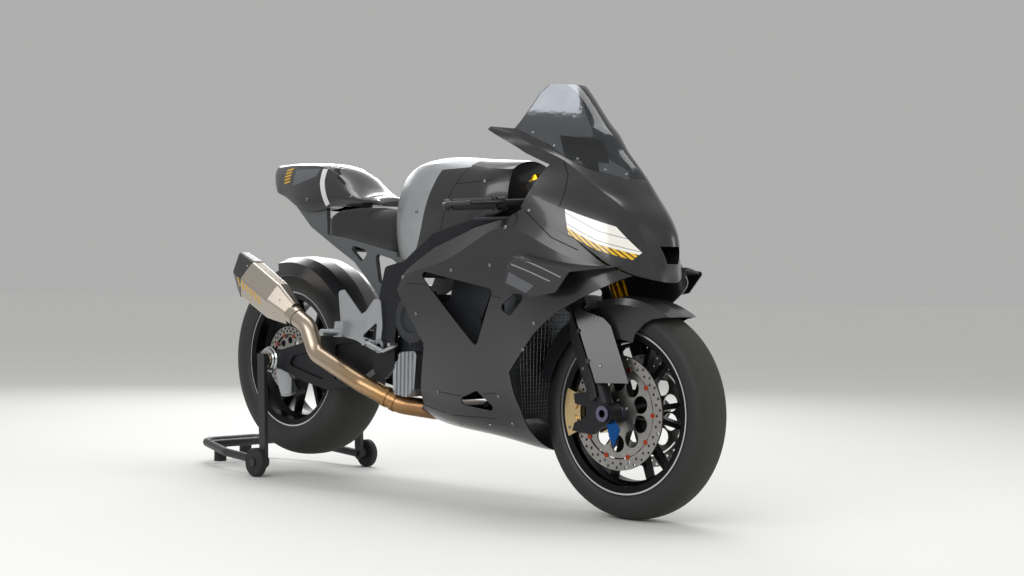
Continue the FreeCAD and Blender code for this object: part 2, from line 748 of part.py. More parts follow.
def rim(centre, half_width, hub_half, bore):
    """A forged rim: barrel with two flanges, forked spokes and a hub."""
    bead = half_width - rim_wall
    shoulder, well = bead * rim_shoulder_share, bead * rim_well_share
    drop = bead_radius - well_depth
    under = bead_radius - 2 * rim_wall
    outer = [(half_width, flange_radius), (bead, flange_radius), (bead, bead_radius - bead_step),
             (shoulder, bead_radius - rim_shoulder_drop), (well, drop)]
    inner = [(well, drop - rim_wall), (shoulder, under), (bead, under)]
    inner.append((half_width, flange_radius - rim_wall))
    profile = [(-side, reach) for side, reach in outer] + outer[::-1] + inner[::-1]
    profile += [(-side, reach) for side, reach in inner]
    pieces = [turned(centre, profile), drum(centre, hub_radius, -hub_half, hub_half)]
    for i in range(spoke_count):
        middle = 2 * math.pi * i / spoke_count
        for lean in (-spoke_spread, spoke_spread):
            root = turn_point(centre, middle + lean * spoke_root_lean, hub_radius * spoke_root_share)
            tip = turn_point(centre, middle + lean, drop - rim_wall / 2)
            pieces.append(spoke(root, tip))
    start = V(centre.x, -hub_half - overrun, centre.z)
    return joined(pieces).cut(Part.makeCylinder(bore, 2 * (hub_half + overrun), start, ALONG_Y))


def spoke(root, tip):
    """One tapered spoke between two points of the wheel's middle plane."""
    along = tip - root
    along.normalize()
    across = V(-along.z, 0, along.x)
    outline = [root + across * (spoke_width / 2), tip + across * (spoke_tip_width / 2),
               tip - across * (spoke_tip_width / 2), root - across * (spoke_width / 2)]
    wires = []
    for side in (-spoke_depth / 2, spoke_depth / 2):
        wires.append(polygon([point + V(0, side, 0) for point in outline]))
    return Part.makeLoft(wires, True, True)


def tyre(centre, radius, half_width, rim_half_width):
    """A slick tyre: a round crown in narrow bands from bead to bead, closed across the rim."""
    bead = rim_half_width - rim_wall - joint_gap
    edge = flange_radius + 2 * joint_gap
    widest = edge + (radius - edge) * tyre_widest_share
    half = [(-bead, bead_radius + joint_gap), (-bead, edge)]
    for i in range(crown_steps + 1):
        turn = math.pi / 2 * i / crown_steps
        half.append((-half_width * math.cos(turn), widest + (radius - widest) * math.sin(turn)))
    return turned(centre, half + [(-side, reach) for side, reach in reversed(half[:-1])])


def brake_disc(centre, radius, band, side, hub, bore):
    """A floating drilled disc on a carrier with windows, tied by round bobbins. The hub is inboard."""
    inner = radius - band
    outward = 1 if side > 0 else -1
    near, far = side - disc_thickness / 2, side + disc_thickness / 2
    low, high = sorted((outward * hub, outward * (hub + carrier_thickness)))
    carrier_radius = inner - bobbin_radius / 2
    pieces = [drum(centre, radius, near, far, inner), drum(centre, carrier_radius, low, high, bore)]
    for place in around(centre, bobbin_count, inner - bobbin_radius / 3):
        pieces.append(drum(place, bobbin_radius, min(low, near), max(high, far)))
    holes = []
    window_reach = (carrier_radius + hub_radius) / 2 + bobbin_radius / 2
    window_radius = (carrier_radius - hub_radius) * carrier_window_share
    for place in around(centre, bobbin_count, window_reach, carrier_window_turn):
        holes.append(drum(place, window_radius, low - overrun, high + overrun))
    for turn, share in drill_places:
        for place in around(centre, drill_count, inner + band * share, turn):
            holes.append(drum(place, drill_radius, near - overrun, far + overrun))
    return joined(pieces).cut(Part.makeCompound(holes))


def front_wheel_parts():
    bore = front_axle_radius + running_gap
    discs = []
    for way in (-1, 1):
        discs.append(brake_disc(front_axle, front_disc_radius, front_disc_band, front_disc_offset * way,
                                front_hub_half_length, bore + carrier_clearance))
    return {
        "front_rim": rim(front_axle, front_rim_half_width, front_hub_half_length, bore),
        "front_tyre": tyre(front_axle, front_tyre_radius, front_tyre_half_width, front_rim_half_width),
        "front_brake_discs": Part.makeCompound(discs),
    }


def rear_wheel_parts():
    bore = rear_axle_radius + running_gap
    disc = brake_disc(rear_axle, rear_disc_radius, rear_disc_band, -rear_disc_offset,
                      rear_hub_half_length, bore + carrier_clearance)
    return {
        "rear_rim": rim(rear_axle, rear_rim_half_width, rear_hub_half_length, bore),
        "rear_tyre": tyre(rear_axle, rear_tyre_radius, rear_tyre_half_width, rear_rim_half_width),
        "rear_brake_disc": disc,
        "rear_sprocket": rear_sprocket(bore + carrier_clearance),
    }


def pitch_radius(teeth):
    return teeth * chain_pitch / (2 * math.pi)


def toothed_plate(centre, teeth):
    """A sprocket's toothed plate in the chain's plane, its tips just inside the chain."""
    low = chain_offset - sprocket_thickness / 2
    tip = pitch_radius(teeth) - chain_height / 2 - tooth_gap
    points = []
    for i in range(teeth):
        for share, reach in ((0, tip - tooth_height), (tooth_rise_share, tip), (tooth_fall_share, tip)):
            point = turn_point(centre, 2 * math.pi * (i + share) / teeth, reach)
            points.append(V(point.x, low, point.z))
    return Part.Face(polygon(points)).extrude(V(0, sprocket_thickness, 0))


def rear_sprocket(bore):
    """A toothed ring with windows on a carrier that bolts to the left end of the hub."""
    low = chain_offset - sprocket_thickness / 2
    high = low + sprocket_thickness
    teeth = toothed_plate(rear_axle, rear_teeth)
    root = pitch_radius(rear_teeth) - chain_height
    windows = []
    for place in around(rear_axle, sprocket_window_count, (root + hub_radius) / 2 + tooth_height):
        windows.append(drum(place, sprocket_window_radius, low - overrun, high + overrun))
    teeth = teeth.cut(Part.makeCompound(windows))
    carrier = drum(rear_axle, hub_radius + carrier_rim, rear_hub_half_length, low)
    bored = drum(rear_axle, bore, rear_hub_half_length - overrun, high + overrun)
    return joined([teeth, carrier]).cut(bored)


def front_sprocket():
    centre = spot(front_sprocket_share)
    shaft = drum(centre, front_sprocket_shaft, tunnel_side + joint_gap, chain_offset)
    return joined([toothed_plate(centre, front_teeth), shaft])


def front_axle_tube():
    """The hollow front axle with its flange, and the two spacers that keep the wheel centred."""
    half = front_axle_half_length
    pieces = [drum(front_axle, front_axle_radius, -half, half),
              drum(front_axle, front_axle_flange_radius, -half - front_axle_flange, -half)]
    spacer_start = front_hub_half_length + carrier_thickness + side_gap
    spacer_end = leg_offset - foot_half_width - joint_gap
    for way in (-1, 1):
        pieces.append(drum(front_axle, front_axle_flange_radius, way * spacer_start, way * spacer_end))
    return joined(pieces).cut(drum(front_axle, front_axle_bore, -half - overrun, half + overrun))


def rear_axle_tube():
    """The hollow rear axle with a wide nut at each end and spacers against the swingarm."""
    half = rear_axle_half_length
    arm_outer = arm_offset + arm_half_thickness + joint_gap
    arm_inner = arm_offset - arm_half_thickness - joint_gap
    sprocket_face = chain_offset + sprocket_thickness / 2 + side_gap
    disc_face = rear_hub_half_length + carrier_thickness + side_gap
    pieces = [drum(rear_axle, rear_axle_radius, -half, half),
              drum(rear_axle, rear_nut_radius, arm_outer, arm_outer + rear_nut_length),
              drum(rear_axle, rear_nut_radius, -arm_outer, -arm_outer - rear_nut_length),
              drum(rear_axle, rear_nut_radius, sprocket_face, arm_inner),
              drum(rear_axle, rear_nut_radius, -arm_inner, -disc_face)]
    return joined(pieces).cut(drum(rear_axle, rear_axle_bore, -half - overrun, half + overrun))


def fork_cylinder(radius, start, length, side, ahead=0.0):
    """A cylinder along the fork, from a place along it."""
    return Part.makeCylinder(radius, length, on_fork(start, side, ahead), up_fork)


def fork_tubes():
    gold = fork_cylinder(fork_tube_radius, leg_top, tube_top - leg_top, -leg_offset)
    cap = fork_cylinder(fork_cap_radius, tube_top, fork_cap_length, -leg_offset)
    return pair(joined([gold, cap]))


def fork_legs():
    """Each lower leg with its seal, the foot that clamps the axle and the arm to the caliper."""
    leg = fork_cylinder(fork_leg_radius, 0, leg_top, -leg_offset)
    seal = fork_cylinder(seal_radius, leg_top - seal_length, seal_length, -leg_offset)
    foot = drum(front_axle, foot_radius, -leg_offset - foot_half_width, -leg_offset + foot_half_width)
    bracket = slab_at(front_axle, bracket_shares, front_disc_radius, -leg_offset - bracket_inset,
                      -caliper_outer - joint_gap)
    bore = drum(front_axle, front_axle_radius + joint_gap, -leg_offset - foot_half_width - overrun,
                -leg_offset + foot_half_width + overrun)
    return pair(joined([leg, seal, foot, bracket]).cut(bore))


def caliper(centre, radius, side, start, end, outer_side, inner_side):
    """A four-piston caliper: one block round the rim of a disc, slotted for it."""
    low, high = sorted((outer_side, inner_side))
    block = sector(centre, radius - caliper_depth, radius + caliper_wall, start, end, low, high)
    slot_half = disc_thickness / 2 + caliper_side_gap
    slot = sector(centre, radius - 2 * caliper_depth, radius + caliper_rim_gap, start - caliper_slot_over,
                  end + caliper_slot_over, side - slot_half, side + slot_half)
    pieces = [block.cut(slot)]
    for share in piston_shares:
        angle = math.radians(start + (end - start) * share)
        place = turn_point(centre, angle, radius - piston_inset)
        pieces.append(drum(place, piston_radius, outer_side - piston_cap, outer_side + piston_cap))
    return joined(pieces)


def front_calipers():
    right = caliper(front_axle, front_disc_radius, -front_disc_offset, front_caliper_start,
                    front_caliper_end, -caliper_outer, -caliper_inner)
    return pair(right)


def rear_caliper():
    """The small rear caliper under the axle and the hanger that carries it inside the arm."""
    outer = -rear_disc_offset - rear_caliper_overhang
    block = caliper(rear_axle, rear_disc_radius, -rear_disc_offset, rear_caliper_start, rear_caliper_end,
                    outer, outer + rear_caliper_width)
    arm_face = -arm_offset + arm_half_thickness + joint_gap
    hanger = slab_at(rear_axle, hanger_shares, rear_disc_radius, arm_face, arm_face + hanger_thickness)
    middle = math.radians((rear_caliper_start + rear_caliper_end) / 2)
    place = turn_point(rear_axle, middle, rear_disc_radius - piston_cap)
    boss = drum(place, hanger_boss_radius, arm_face, outer + piston_cap)
    return joined([block, hanger, boss])


def triple_clamps():
    """Lower and upper clamps with the hollow stem between them."""
    pieces = []
    for along in (lower_clamp_along, upper_clamp_along):
        web = []
        for side, ahead in clamp_web_shares:
            web.append(on_fork(along, side * leg_offset, ahead * clamp_lobe_radius))
        pieces.append(Part.Face(polygon(web)).extrude(up_fork * clamp_thickness))
        for side in (-leg_offset, leg_offset):
            pieces.append(fork_cylinder(clamp_lobe_radius, along, clamp_thickness, side))
    length = upper_clamp_along + clamp_thickness - lower_clamp_along
    pieces.append(fork_cylinder(stem_radius, lower_clamp_along, length, 0, -clamp_offset))
    start, reach = lower_clamp_along - overrun, length + 2 * overrun
    bores = [fork_cylinder(stem_bore, start, reach, 0, -clamp_offset)]
    for side in (-leg_offset, leg_offset):
        bores.append(fork_cylinder(fork_tube_radius + joint_gap, start, reach, side))
    return joined(pieces).cut(Part.makeCompound(bores))


def bar_ends():
    """The inner and outer end of the right handlebar, the way along it and the way ahead of it."""
    inner = on_fork(clip_along + clip_height / 2, -leg_offset)
    outer = V(inner.x - bar_sweep, -bar_half_span, inner.z - bar_drop)
    way = outer - inner
    way.normalize()
    ahead = V(-way.y, way.x, 0)
    ahead.normalize()
    return inner, outer, way, ahead


def clip_ons():
    """A split clamp on each tube and the tube that the grip slides onto."""
    inner, outer, way, ahead = bar_ends()
    ring = fork_cylinder(fork_tube_radius + clip_wall, clip_along, clip_height, -leg_offset)
    bar = Part.makeCylinder(bar_radius, (outer - inner).Length, inner, way)
    bore = fork_cylinder(fork_tube_radius + joint_gap, clip_along - overrun, clip_height + 2 * overrun,
                         -leg_offset)
    return pair(joined([ring, bar]).cut(bore))


def grips():
    inner, outer, way, ahead = bar_ends()
    start = outer - way * (grip_length + grip_inset)
    grip = Part.makeCylinder(grip_radius, grip_length, start, way)
    flange = Part.makeCylinder(grip_flange_radius, grip_flange, start, way)
    bore = Part.makeCylinder(bar_radius + joint_gap, grip_length + 2 * overrun, start - way * overrun, way)
    return pair(joined([grip, flange]).cut(bore))


def levers():
    """Each lever with its perch on the bar."""
    inner, outer, way, ahead = bar_ends()
    start = outer - way * (grip_length + grip_inset + perch_gap + perch_width)
    perch = Part.makeCylinder(bar_radius + clip_wall, perch_width, start, way)
    hole = Part.makeCylinder(bar_radius + joint_gap, perch_width + 2 * overrun, start - way * overrun, way)
    hinge = start + way * (perch_width / 2) + ahead * perch_reach
    elbow = hinge + ahead * (lever_reach - lever_elbow) + way * lever_splay
    tip = outer + ahead * lever_reach - way * lever_end_inset
    lever = bent_tube([hinge, elbow, tip], lever_thickness / 2, lever_bend)
    return pair(joined([perch.cut(hole), lever]))


def lever_guards():
    """The guard that bows forward from each bar's end."""
    inner, outer, way, ahead = bar_ends()
    start = outer + way * joint_gap
    step = start + way * guard_step
    tip = outer + ahead * (lever_reach + guard_reach) - way * guard_end_inset
    guard = bent_tube([start, step, step + ahead * guard_elbow, tip], guard_radius, guard_bend)
    plug = Part.makeCylinder(grip_radius, guard_plug, start, way)
    return pair(joined([guard, plug]))


def front_fender():
    """A thin arch over the front tyre, closer at the sides, with a boss towards each leg."""
    half = [(fender_half_width, fender_radius - fender_side_drop - fender_skirt),
            (fender_half_width, fender_radius - fender_side_drop),
            (fender_crown_half_width, fender_radius - fender_shoulder_drop)]
    outer = [(-side, reach) for side, reach in half] + [(0, fender_radius)] + half[::-1]
    narrower = 1 - fender_wall / fender_half_width
    inner = []
    for side, reach in reversed(outer):
        inner.append((side * narrower, reach if abs(side) == fender_half_width else reach - fender_wall))
    profile = [V(front_axle.x, side, front_axle.z + reach) for side, reach in outer + inner]
    ring = Part.Face(polygon(profile))
    ring.rotate(front_axle, ALONG_Y, 90 - fender_start)
    arch = ring.revolve(front_axle, -ALONG_Y, fender_sweep)
    beyond = fender_half_width + overrun
    arch = arch.cut(slab_at(front_axle, fender_edge_shares, fender_radius, -beyond, beyond))
    bosses = []
    leg_face = leg_offset - fork_leg_radius - joint_gap
    for way in (-1, 1):
        bosses.append(drum(on_fork(fender_boss_along), fender_boss_radius,
                           way * (fender_half_width - side_gap), way * leg_face))
    return joined([arch] + bosses)


def fork_guards():
    """Two thin plates outside each leg, folded round it on short posts."""
    pieces = []
    for edges, outline in ((guard_front_edge_shares, guard_front_shares),
                           (guard_rear_edge_shares, guard_rear_shares)):
        (ahead_1, side_1), (ahead_2, side_2) = edges
        points = []
        for along, share in outline:
            side = side_1 + (side_2 - side_1) * share
            ahead = ahead_1 + (ahead_2 - ahead_1) * share
            points.append(on_fork(along * leg_top, -side * leg_offset, ahead * leg_offset))
        normal = (points[1] - points[0]).cross(points[2] - points[1])
        normal.normalize()
        pieces.append(Part.Face(polygon(points)).extrude(normal * guard_wall))
    for along in guard_post_places:
        place = on_fork(along, -leg_offset - guard_post_inset, guard_post_ahead)
        pieces.append(Part.makeCylinder(guard_post_radius, guard_post_length, place, -ALONG_Y))
    leg = fork_cylinder(fork_leg_radius + joint_gap, 0, leg_top, -leg_offset)
    return pair(joined(pieces).cut(leg))


def smooth(points):
    curve = Part.BSplineCurve()
    curve.interpolate(points)
    return curve.toShape()


def creased_edges(points, creases):
    """Edges through the points, smooth from each crease to the next."""
    stops = [0] + list(creases) + [len(points) - 1]
    edges = []
    for first, last in zip(stops, stops[1:]):
        run = points[first:last + 1]
        edges.append(smooth(run) if len(run) > 2 else Part.makeLine(run[0], run[1]))
    return edges


def offset_line(points, distance):
    """Points of a plane line moved to its left by a distance, mitred at the corners."""
    moved = []
    for i, (x, y) in enumerate(points):
        normals = []
        for a, b in ((points[max(i - 1, 0)], (x, y)), ((x, y), points[min(i + 1, len(points) - 1)])):
            dx, dy = b[0] - a[0], b[1] - a[1]
            length = math.hypot(dx, dy)
            if length > 0:
                normals.append((-dy / length, dx / length))
        nx, ny = sum(n[0] for n in normals), sum(n[1] for n in normals)
        size = math.hypot(nx, ny)
        reach = distance * min(len(normals) / size, longest_mitre) / size
        moved.append((x + nx * reach, y + ny * reach))
    return moved


def section(line, creases, place, wall=0.0):
    """A closed section through a half line and its mirror image, filled or as a thin shell."""
    full = line + [(a, -b) for a, b in reversed(line[:-1])]
    last = len(full) - 1
    both = list(creases) + [last - crease for crease in reversed(creases)]
    outer = [place(point) for point in full]
    edges = creased_edges(outer, both)
    if not wall:
        edges.append(Part.makeLine(outer[-1], outer[0]))
        return Part.Wire(edges)
    inner = [place(point) for point in reversed(offset_line(full, wall))]
    edges.append(Part.makeLine(outer[-1], inner[0]))
    edges += creased_edges(inner, both)
    edges.append(Part.makeLine(inner[-1], outer[0]))
    return Part.Wire(edges)


def lofted_along(stations, creases, wall=0.0):
    """A body lofted along the bike. A station has its place along, then points (side, up)."""
    wires = []
    for along, line in stations:
        x = rear_axle_x + along * wheelbase
        half = [(up * height, -side * body_half_width) for side, up in line]
        wires.append(section(half, creases, lambda p, x=x: V(x, p[1], p[0]), -wall))
    return Part.makeLoft(wires, True, False)


def lofted_up(stations, creases, wall=0.0):
    """A body lofted upwards. A station has its height, then points (along, side)."""
    wires = []
    for up, line in stations:
        half = [(rear_axle_x + along * wheelbase, -side * body_half_width) for along, side in line]
        wires.append(section(half, creases, lambda p, z=up * height: V(p[0], p[1], z), wall))
    return Part.makeLoft(wires, True, False)


def mouth_cutter(shrink):
    """The intake's opening, wider at the top, as a block along the bike."""
    centre = spot(mouth_share)
    half = mouth_height / 2 - shrink
    wide, narrow = mouth_half_width - shrink, mouth_half_width * mouth_foot_share - shrink
    x = centre.x - 2 * mouth_height
    points = [V(x, -wide, centre.z + half), V(x, wide, centre.z + half), V(x, narrow, centre.z - half),
              V(x, -narrow, centre.z - half)]
    return Part.Face(polygon(points)).extrude(V(4 * mouth_height, 0, 0))


def upper_fairing(nose):
    """The nose and its two ears, with openings for the lamps and the intake."""
    outline = screen_seam_shares + ear_shares + nose_seam_shares + nose_front_shares
    shell = nose.common(side_view_cutter(outline))
    return biggest(shell.cut(side_view_cutter(lamp_shares)).cut(mouth_cutter(0)))


def lamp_panels(nose):
    opening = polygon([spot(share, -2 * body_half_width) for share in lamp_shares])
    inset = Part.Face(opening).makeOffset2D(-joint_gap)
    lamps = nose.common(inset.extrude(V(0, 4 * body_half_width, 0)))
    return Part.makeCompound(sorted(lamps.Solids, key=lambda solid: -solid.Volume)[:2])


def windscreen(nose):
    screen = biggest(nose.common(side_view_cutter(screen_seam_shares + screen_top_shares)))
    screen.translate(V(0, 0, joint_gap))
    return screen


def intake_duct(nose_body):
    """The air tube from the mouth in the nose to the head tube, with its open end."""
    body = slab(duct_low_shares + duct_top_shares, -duct_half_width, duct_half_width, duct_corner)
    duct = joined([body, mouth_cutter(joint_gap)])
    hollow = mouth_cutter(panel_wall)
    hollow.translate(V(mouth_height, 0, 0))
    head = fork_cylinder(head_tube_radius + joint_gap, 0, tube_top, 0, -clamp_offset)
    return biggest(duct.common(nose_body).cut(hollow).cut(head))


def instrument_panel(duct):
    panel = slab(dash_shares, -dash_half_width, dash_half_width, panel_wall)
    stay = slab(stay_shares, -dash_stay_half_width, dash_stay_half_width, panel_wall)
    duct = duct.copy()
    duct.translate(V(0, 0, joint_gap))
    return biggest(joined([panel, stay]).cut(duct))


def side_fairing(hull):
    """The right side panel, cut to its outline with the duct and the vents."""
    outline = (fairing_top_shares + nose_seam_shares + fairing_front_shares + belly_seam_shares
               + fairing_rear_shares)
    panel = hull.common(slab(outline, -2 * body_half_width, -joint_gap))
    for opening in (side_opening_shares, vent_shares, slot_shares):
        panel = panel.cut(slab(opening, -2 * body_half_width, 0, opening_corner))
    return biggest(panel)


def link_places():
    return [spot(share, -side) for share, side in link_route]


def belly_pan(hull):
    """The pan between the side panels, with a notch where the exhaust comes out on the right."""
    pan = hull.common(side_view_cutter(belly_seam_shares + belly_low_shares))
    pan.translate(V(0, 0, -joint_gap))
    return biggest(pan.cut(bent_tube(link_places(), link_radius + panel_gap, link_bend)))


def winglets(hull_body, nose_body, panel):
    """Each wing: an aerofoil blade out from the side panel and a flat plate at its end."""
    sections = []
    for along, up, side, chord in wing_blade_shares:
        front = spot((along, up), -side * body_half_width)
        depth = chord * wheelbase
        rear = front + V(-depth, 0, depth * wing_rise_share)
        top = front + V(-depth * wing_crest_share, 0, wing_thickness)
        low = front + V(-depth * wing_crest_share, 0, -wing_thickness / 4)
        sections.append(Part.Wire([smooth([front, top, rear]), smooth([rear, low, front])]))
    blade = Part.makeLoft(sections, True, True)
    plate = slab(wing_plate_shares, -wing_plate_side - wing_plate, -wing_plate_side, wing_corner)
    wing = joined([blade, plate]).cut(hull_body).cut(nose_body).cut(panel)
    panel = panel.copy()
    panel.translate(V(0, -joint_gap, 0))
    return pair(biggest(wing.cut(panel)))


def tank_pieces(body):
    """The tank's silver rear part and the black cover in front of it, parted by a slanted seam."""
    body = body.copy()
    body.translate(V(0, 0, joint_gap))
    rear = body.common(side_view_cutter(tank_rear_shares))
    front = body.cut(side_view_cutter(tank_rear_shares))
    front.translate(V(seam_gap, 0, 0))
    return biggest(rear), biggest(front)


def tail_cowl(body):
    """The tail's thin shell, closed in front, open below between the subframe's plates."""
    middle = (tail_station_shares[0][0] + tail_station_shares[-1][0]) / 2
    thinner = []
    for along, line in tail_station_shares:
        low = line[0][1]
        inner = tuple((side * tail_core_share, low + (up - low) * tail_core_share) for side, up in line)
        thinner.append((middle + (along - middle) * tail_core_share, inner))
    cavity = lofted_along(thinner, tail_creases)
    cavity.translate(V(0, 0, panel_wall))
    well = slab(tail_well_shares, -tail_well_half_width, tail_well_half_width)
    shell = body.cut(cavity).cut(well)
    shell.translate(V(0, 0, joint_gap))
    return biggest(shell)


def seat():
    pad = slab(seat_floor_shares + seat_top_shares, -seat_half_width, seat_half_width, seat_corner)
    pad.translate(V(0, 0, joint_gap))
    return pad


def subframe(tail_body, tank_body):
    """Two cut-out side plates tied by tubes, trimmed under the tail's floor."""
    outline = subframe_front_shares + subframe_rear_shares + seat_floor_shares[::-1]
    low, high = -subframe_offset - subframe_half_thickness, -subframe_offset + subframe_half_thickness
    side = biggest(slab(outline, low, high).cut(tail_body).cut(tank_body))
    for window in subframe_window_shares:
        side = side.cut(slab(window, low - overrun, high + overrun, opening_corner))
    pieces = [side, mirrored(side)]
    for share in subframe_tie_shares:
        pieces.append(drum(spot(share), subframe_tie_radius, -subframe_offset, subframe_offset))
    reach = plate_inner - joint_gap
    pieces.append(drum(spot(subframe_tie_shares[0]), subframe_bolt_radius, -reach, reach))
    return joined(pieces)


def spar():
    """The right-hand spar, lofted from the head tube back and down to the pivot plate."""
    places = [(on_fork(head_foot + spar_head_rise, -spar_head_side, -clamp_offset - spar_head_back),
               spar_head_depth)]
    for along, up, side, depth in spar_stations:
        places.append((spot((along, up), -side * body_half_width), depth * height))
    wires = []
    across = V(0, spar_thickness / 2, 0)
    for centre, depth in places:
        tall = spar_tilt * (depth / 2)
        corners = [centre + across + tall, centre - across + tall, centre - across - tall,
                   centre + across - tall]
        wires.append(rounded(corners, spar_corner))
    return Part.makeLoft(wires, True, True)


def frame():
    """The twin-spar frame: head tube, two spars and the plates that hold the swingarm pivot."""
    plate = slab(pivot_plate_shares, -plate_inner - plate_thickness, -plate_inner, plate_corner)
    face = -head_half_width - joint_gap
    hanger = slab(hanger_plate_shares, face - hanger_plate, face, plate_corner / 2)
    side = joined([spar(), plate, hanger])
    length = upper_clamp_along - head_tube_gap - head_foot
    head = fork_cylinder(head_tube_radius, head_foot, length, 0, -clamp_offset)
    tie = drum(spot(frame_tie_share), tie_radius, -plate_inner, plate_inner)
    points = []
    for along, back in gusset_shares:
        points.append(on_fork(head_foot + along * length, -gusset_half_width, -clamp_offset - back * length))
    gusset = Part.Face(polygon(points)).extrude(V(0, 2 * gusset_half_width, 0))
    solid = joined([side, mirrored(side), head, tie, gusset])
    bore = fork_cylinder(stem_radius + running_gap, 0, tube_top, 0, -clamp_offset)
    reach = plate_inner + plate_thickness + overrun
    return solid.cut(bore).cut(drum(spot(pivot_share), pivot_radius + joint_gap, -reach, reach))


def engine_block():
    """The closed engine: crankcase and cylinders, with a pocket for the front sprocket."""
    case = slab(case_shares, -case_half_width, case_half_width, case_corner)
    head = slab(cylinder_shares, -head_half_width, head_half_width, case_corner)
    tunnel = slab(chain_tunnel_shares, tunnel_side, case_half_width + overrun)
    return joined([case, head]).cut(tunnel)


def round_cover(share, radius, depth, profile, way):
    """A round cover on the crankcase's side, turned from shares of its depth and radius."""
    places = [(way * (case_half_width + out * depth), reach * radius) for out, reach in profile]
    return turned(spot(share), places)


def clutch_cover():
    """The round clutch cover with its ring of bolt bosses."""
    pieces = [round_cover(clutch_share, clutch_radius, clutch_depth, clutch_profile_shares, -1)]
    for place in around(spot(clutch_share), cover_bolt_count, clutch_radius, cover_bolt_turn):
        pieces.append(drum(place, cover_bolt_radius, -case_half_width - clutch_depth / 2, -case_half_width))
    return joined(pieces)


def generator_cover():
    """The round generator cover on the left with its ring of bolt bosses."""
    pieces = [round_cover(generator_share, generator_radius, generator_depth, generator_profile_shares, 1)]
    for place in around(spot(generator_share), cover_bolt_count, generator_radius, cover_bolt_turn):
        pieces.append(drum(place, cover_bolt_radius, case_half_width, case_half_width + generator_depth / 2))
    return joined(pieces)


def sprocket_cover():
    low = case_half_width + joint_gap
    return slab(sprocket_cover_shares, low, low + 2 * sprocket_thickness, plate_corner)


def sump_casting():
    """The ribbed casting low on the right of the engine."""
    low = -case_half_width - sump_depth
    body = slab(sump_shares, low, -case_half_width, seat_corner)
    foot = spot(sump_rib_share, low - sump_rib_height)
    ribs = []
    for i in range(sump_rib_count):
        rib = Part.makeBox(sump_rib_width, 2 * sump_rib_height, sump_rib_length)
        rib.translate(foot + V(i * sump_rib_pitch, 0, 0))
        ribs.append(rib)
    outline = slab(sump_shares, low - sump_rib_height, -case_half_width, seat_corner)
    return joined([body] + Part.makeCompound(ribs).common(outline).Solids)


def radiator(block):
    """A core that narrows towards its foot, its frame, level slats in front and two stays."""
    foot, top = spot(radiator_foot_share), spot(radiator_top_share)
    up = top - foot
    length = up.Length
    right = [(radiator_foot_half_width, 0), (radiator_half_width, radiator_waist_share),
             (radiator_half_width, 1)]
    outline = right + [(-side, share) for side, share in reversed(right)]

    def plate(back, front, scale):
        edge = (1 - scale) / 2
        points = [V(back, side * scale, length * (share * scale + edge)) for side, share in outline]
        return Part.Face(polygon(points)).extrude(V(front - back, 0, 0))

    core = plate(0, slat_depth + overrun, radiator_core_share)
    shell = plate(-radiator_thickness, slat_depth, 1).cut(core)
    slats = []
    for i in range(slat_count):
        slat = Part.makeBox(slat_depth, 2 * radiator_half_width, slat_thickness)
        slat.translate(V(-slat_depth / 2, -radiator_half_width, length * (i + 1) / (slat_count + 1)))
        slats.append(slat)
    slats = Part.makeCompound(slats).common(plate(-slat_depth, slat_depth, radiator_slat_share))
    solid = joined([shell] + slats.Solids)
    solid.rotate(V(0, 0, 0), ALONG_Y, math.degrees(math.atan2(up.x, up.z)))
    solid.translate(foot)
    block = block.copy()
    block.translate(V(joint_gap, 0, 0))
    stays = []
    for side in (-radiator_stay_side, radiator_stay_side):
        start = spot(radiator_stay_share, side)
        stay = Part.makeCylinder(radiator_stay_radius, start.x - spot(case_shares[0]).x, start, V(-1, 0, 0))
        stays.append(max(stay.cut(block).Solids, key=lambda piece: piece.BoundBox.XMax))
    return joined([solid] + stays)


def header_pipes(block):
    """Four pipes from the ports, down in front of the engine and into the collector under it."""
    pipes = []
    for number in port_numbers:
        side, low_side = number * port_pitch, number * port_pitch / 2
        start = spot(port_share, side)
        points = [start, start + V(port_reach, 0, -port_drop),
                  spot(header_bend_share, side * header_waist_share), spot(header_low_share, low_side),
                  spot(collector_share, low_side * collector_entry_share)]
        pipes.append(bent_tube(points, header_radius, header_bend_radius))
    block = block.copy()
    block.translate(V(joint_gap, 0, 0))
    return biggest(joined(pipes + [collector(0)]).cut(block))


def collector(grow):
    """The box under the engine where the four pipes meet, wider by a clearance for cutting."""
    return slab(collector_shares, collector_right - grow, collector_left + grow, collector_corner)


def muffler_axis():
    """The muffler's rear end, the way along it, its up and sideways directions and its length."""
    rear = spot(muffler_rear_share, -muffler_offset)
    way = spot(muffler_front_share, -muffler_front_offset) - rear
    length = way.Length
    way.normalize()
    up = V(0, -1, 0).cross(way)
    up.normalize()
    return rear, way, up, way.cross(up), length


def muffler_ring(along, scale, slant=0.0):
    """One six-sided section of the muffler at a distance from its rear end."""
    rear, way, up, side, length = muffler_axis()
    corners = []
    for w, h in muffler_section_shares:
        shift = way * (along + slant * (1 - h) / 2)
        corners.append(rear + shift + side * (w * muffler_half_width * scale)
                       + up * (h * muffler_half_height * scale))
    return rounded(corners, muffler_corner * scale)


def muffler():
    """The six-sided body, its front cone and the neck that the link pipe meets."""
    rear, way, up, side, length = muffler_axis()
    rings = [muffler_ring(muffler_cap_length, 1)]
    for along, scale in muffler_station_shares:
        rings.append(muffler_ring(length * along, scale))
    neck = Part.makeCylinder(link_radius + muffler_neck_wall, 2 * length * muffler_neck_share,
                             rear + way * (length * (1 - muffler_neck_share)), way)
    return joined([Part.makeLoft(rings, True, True), neck])


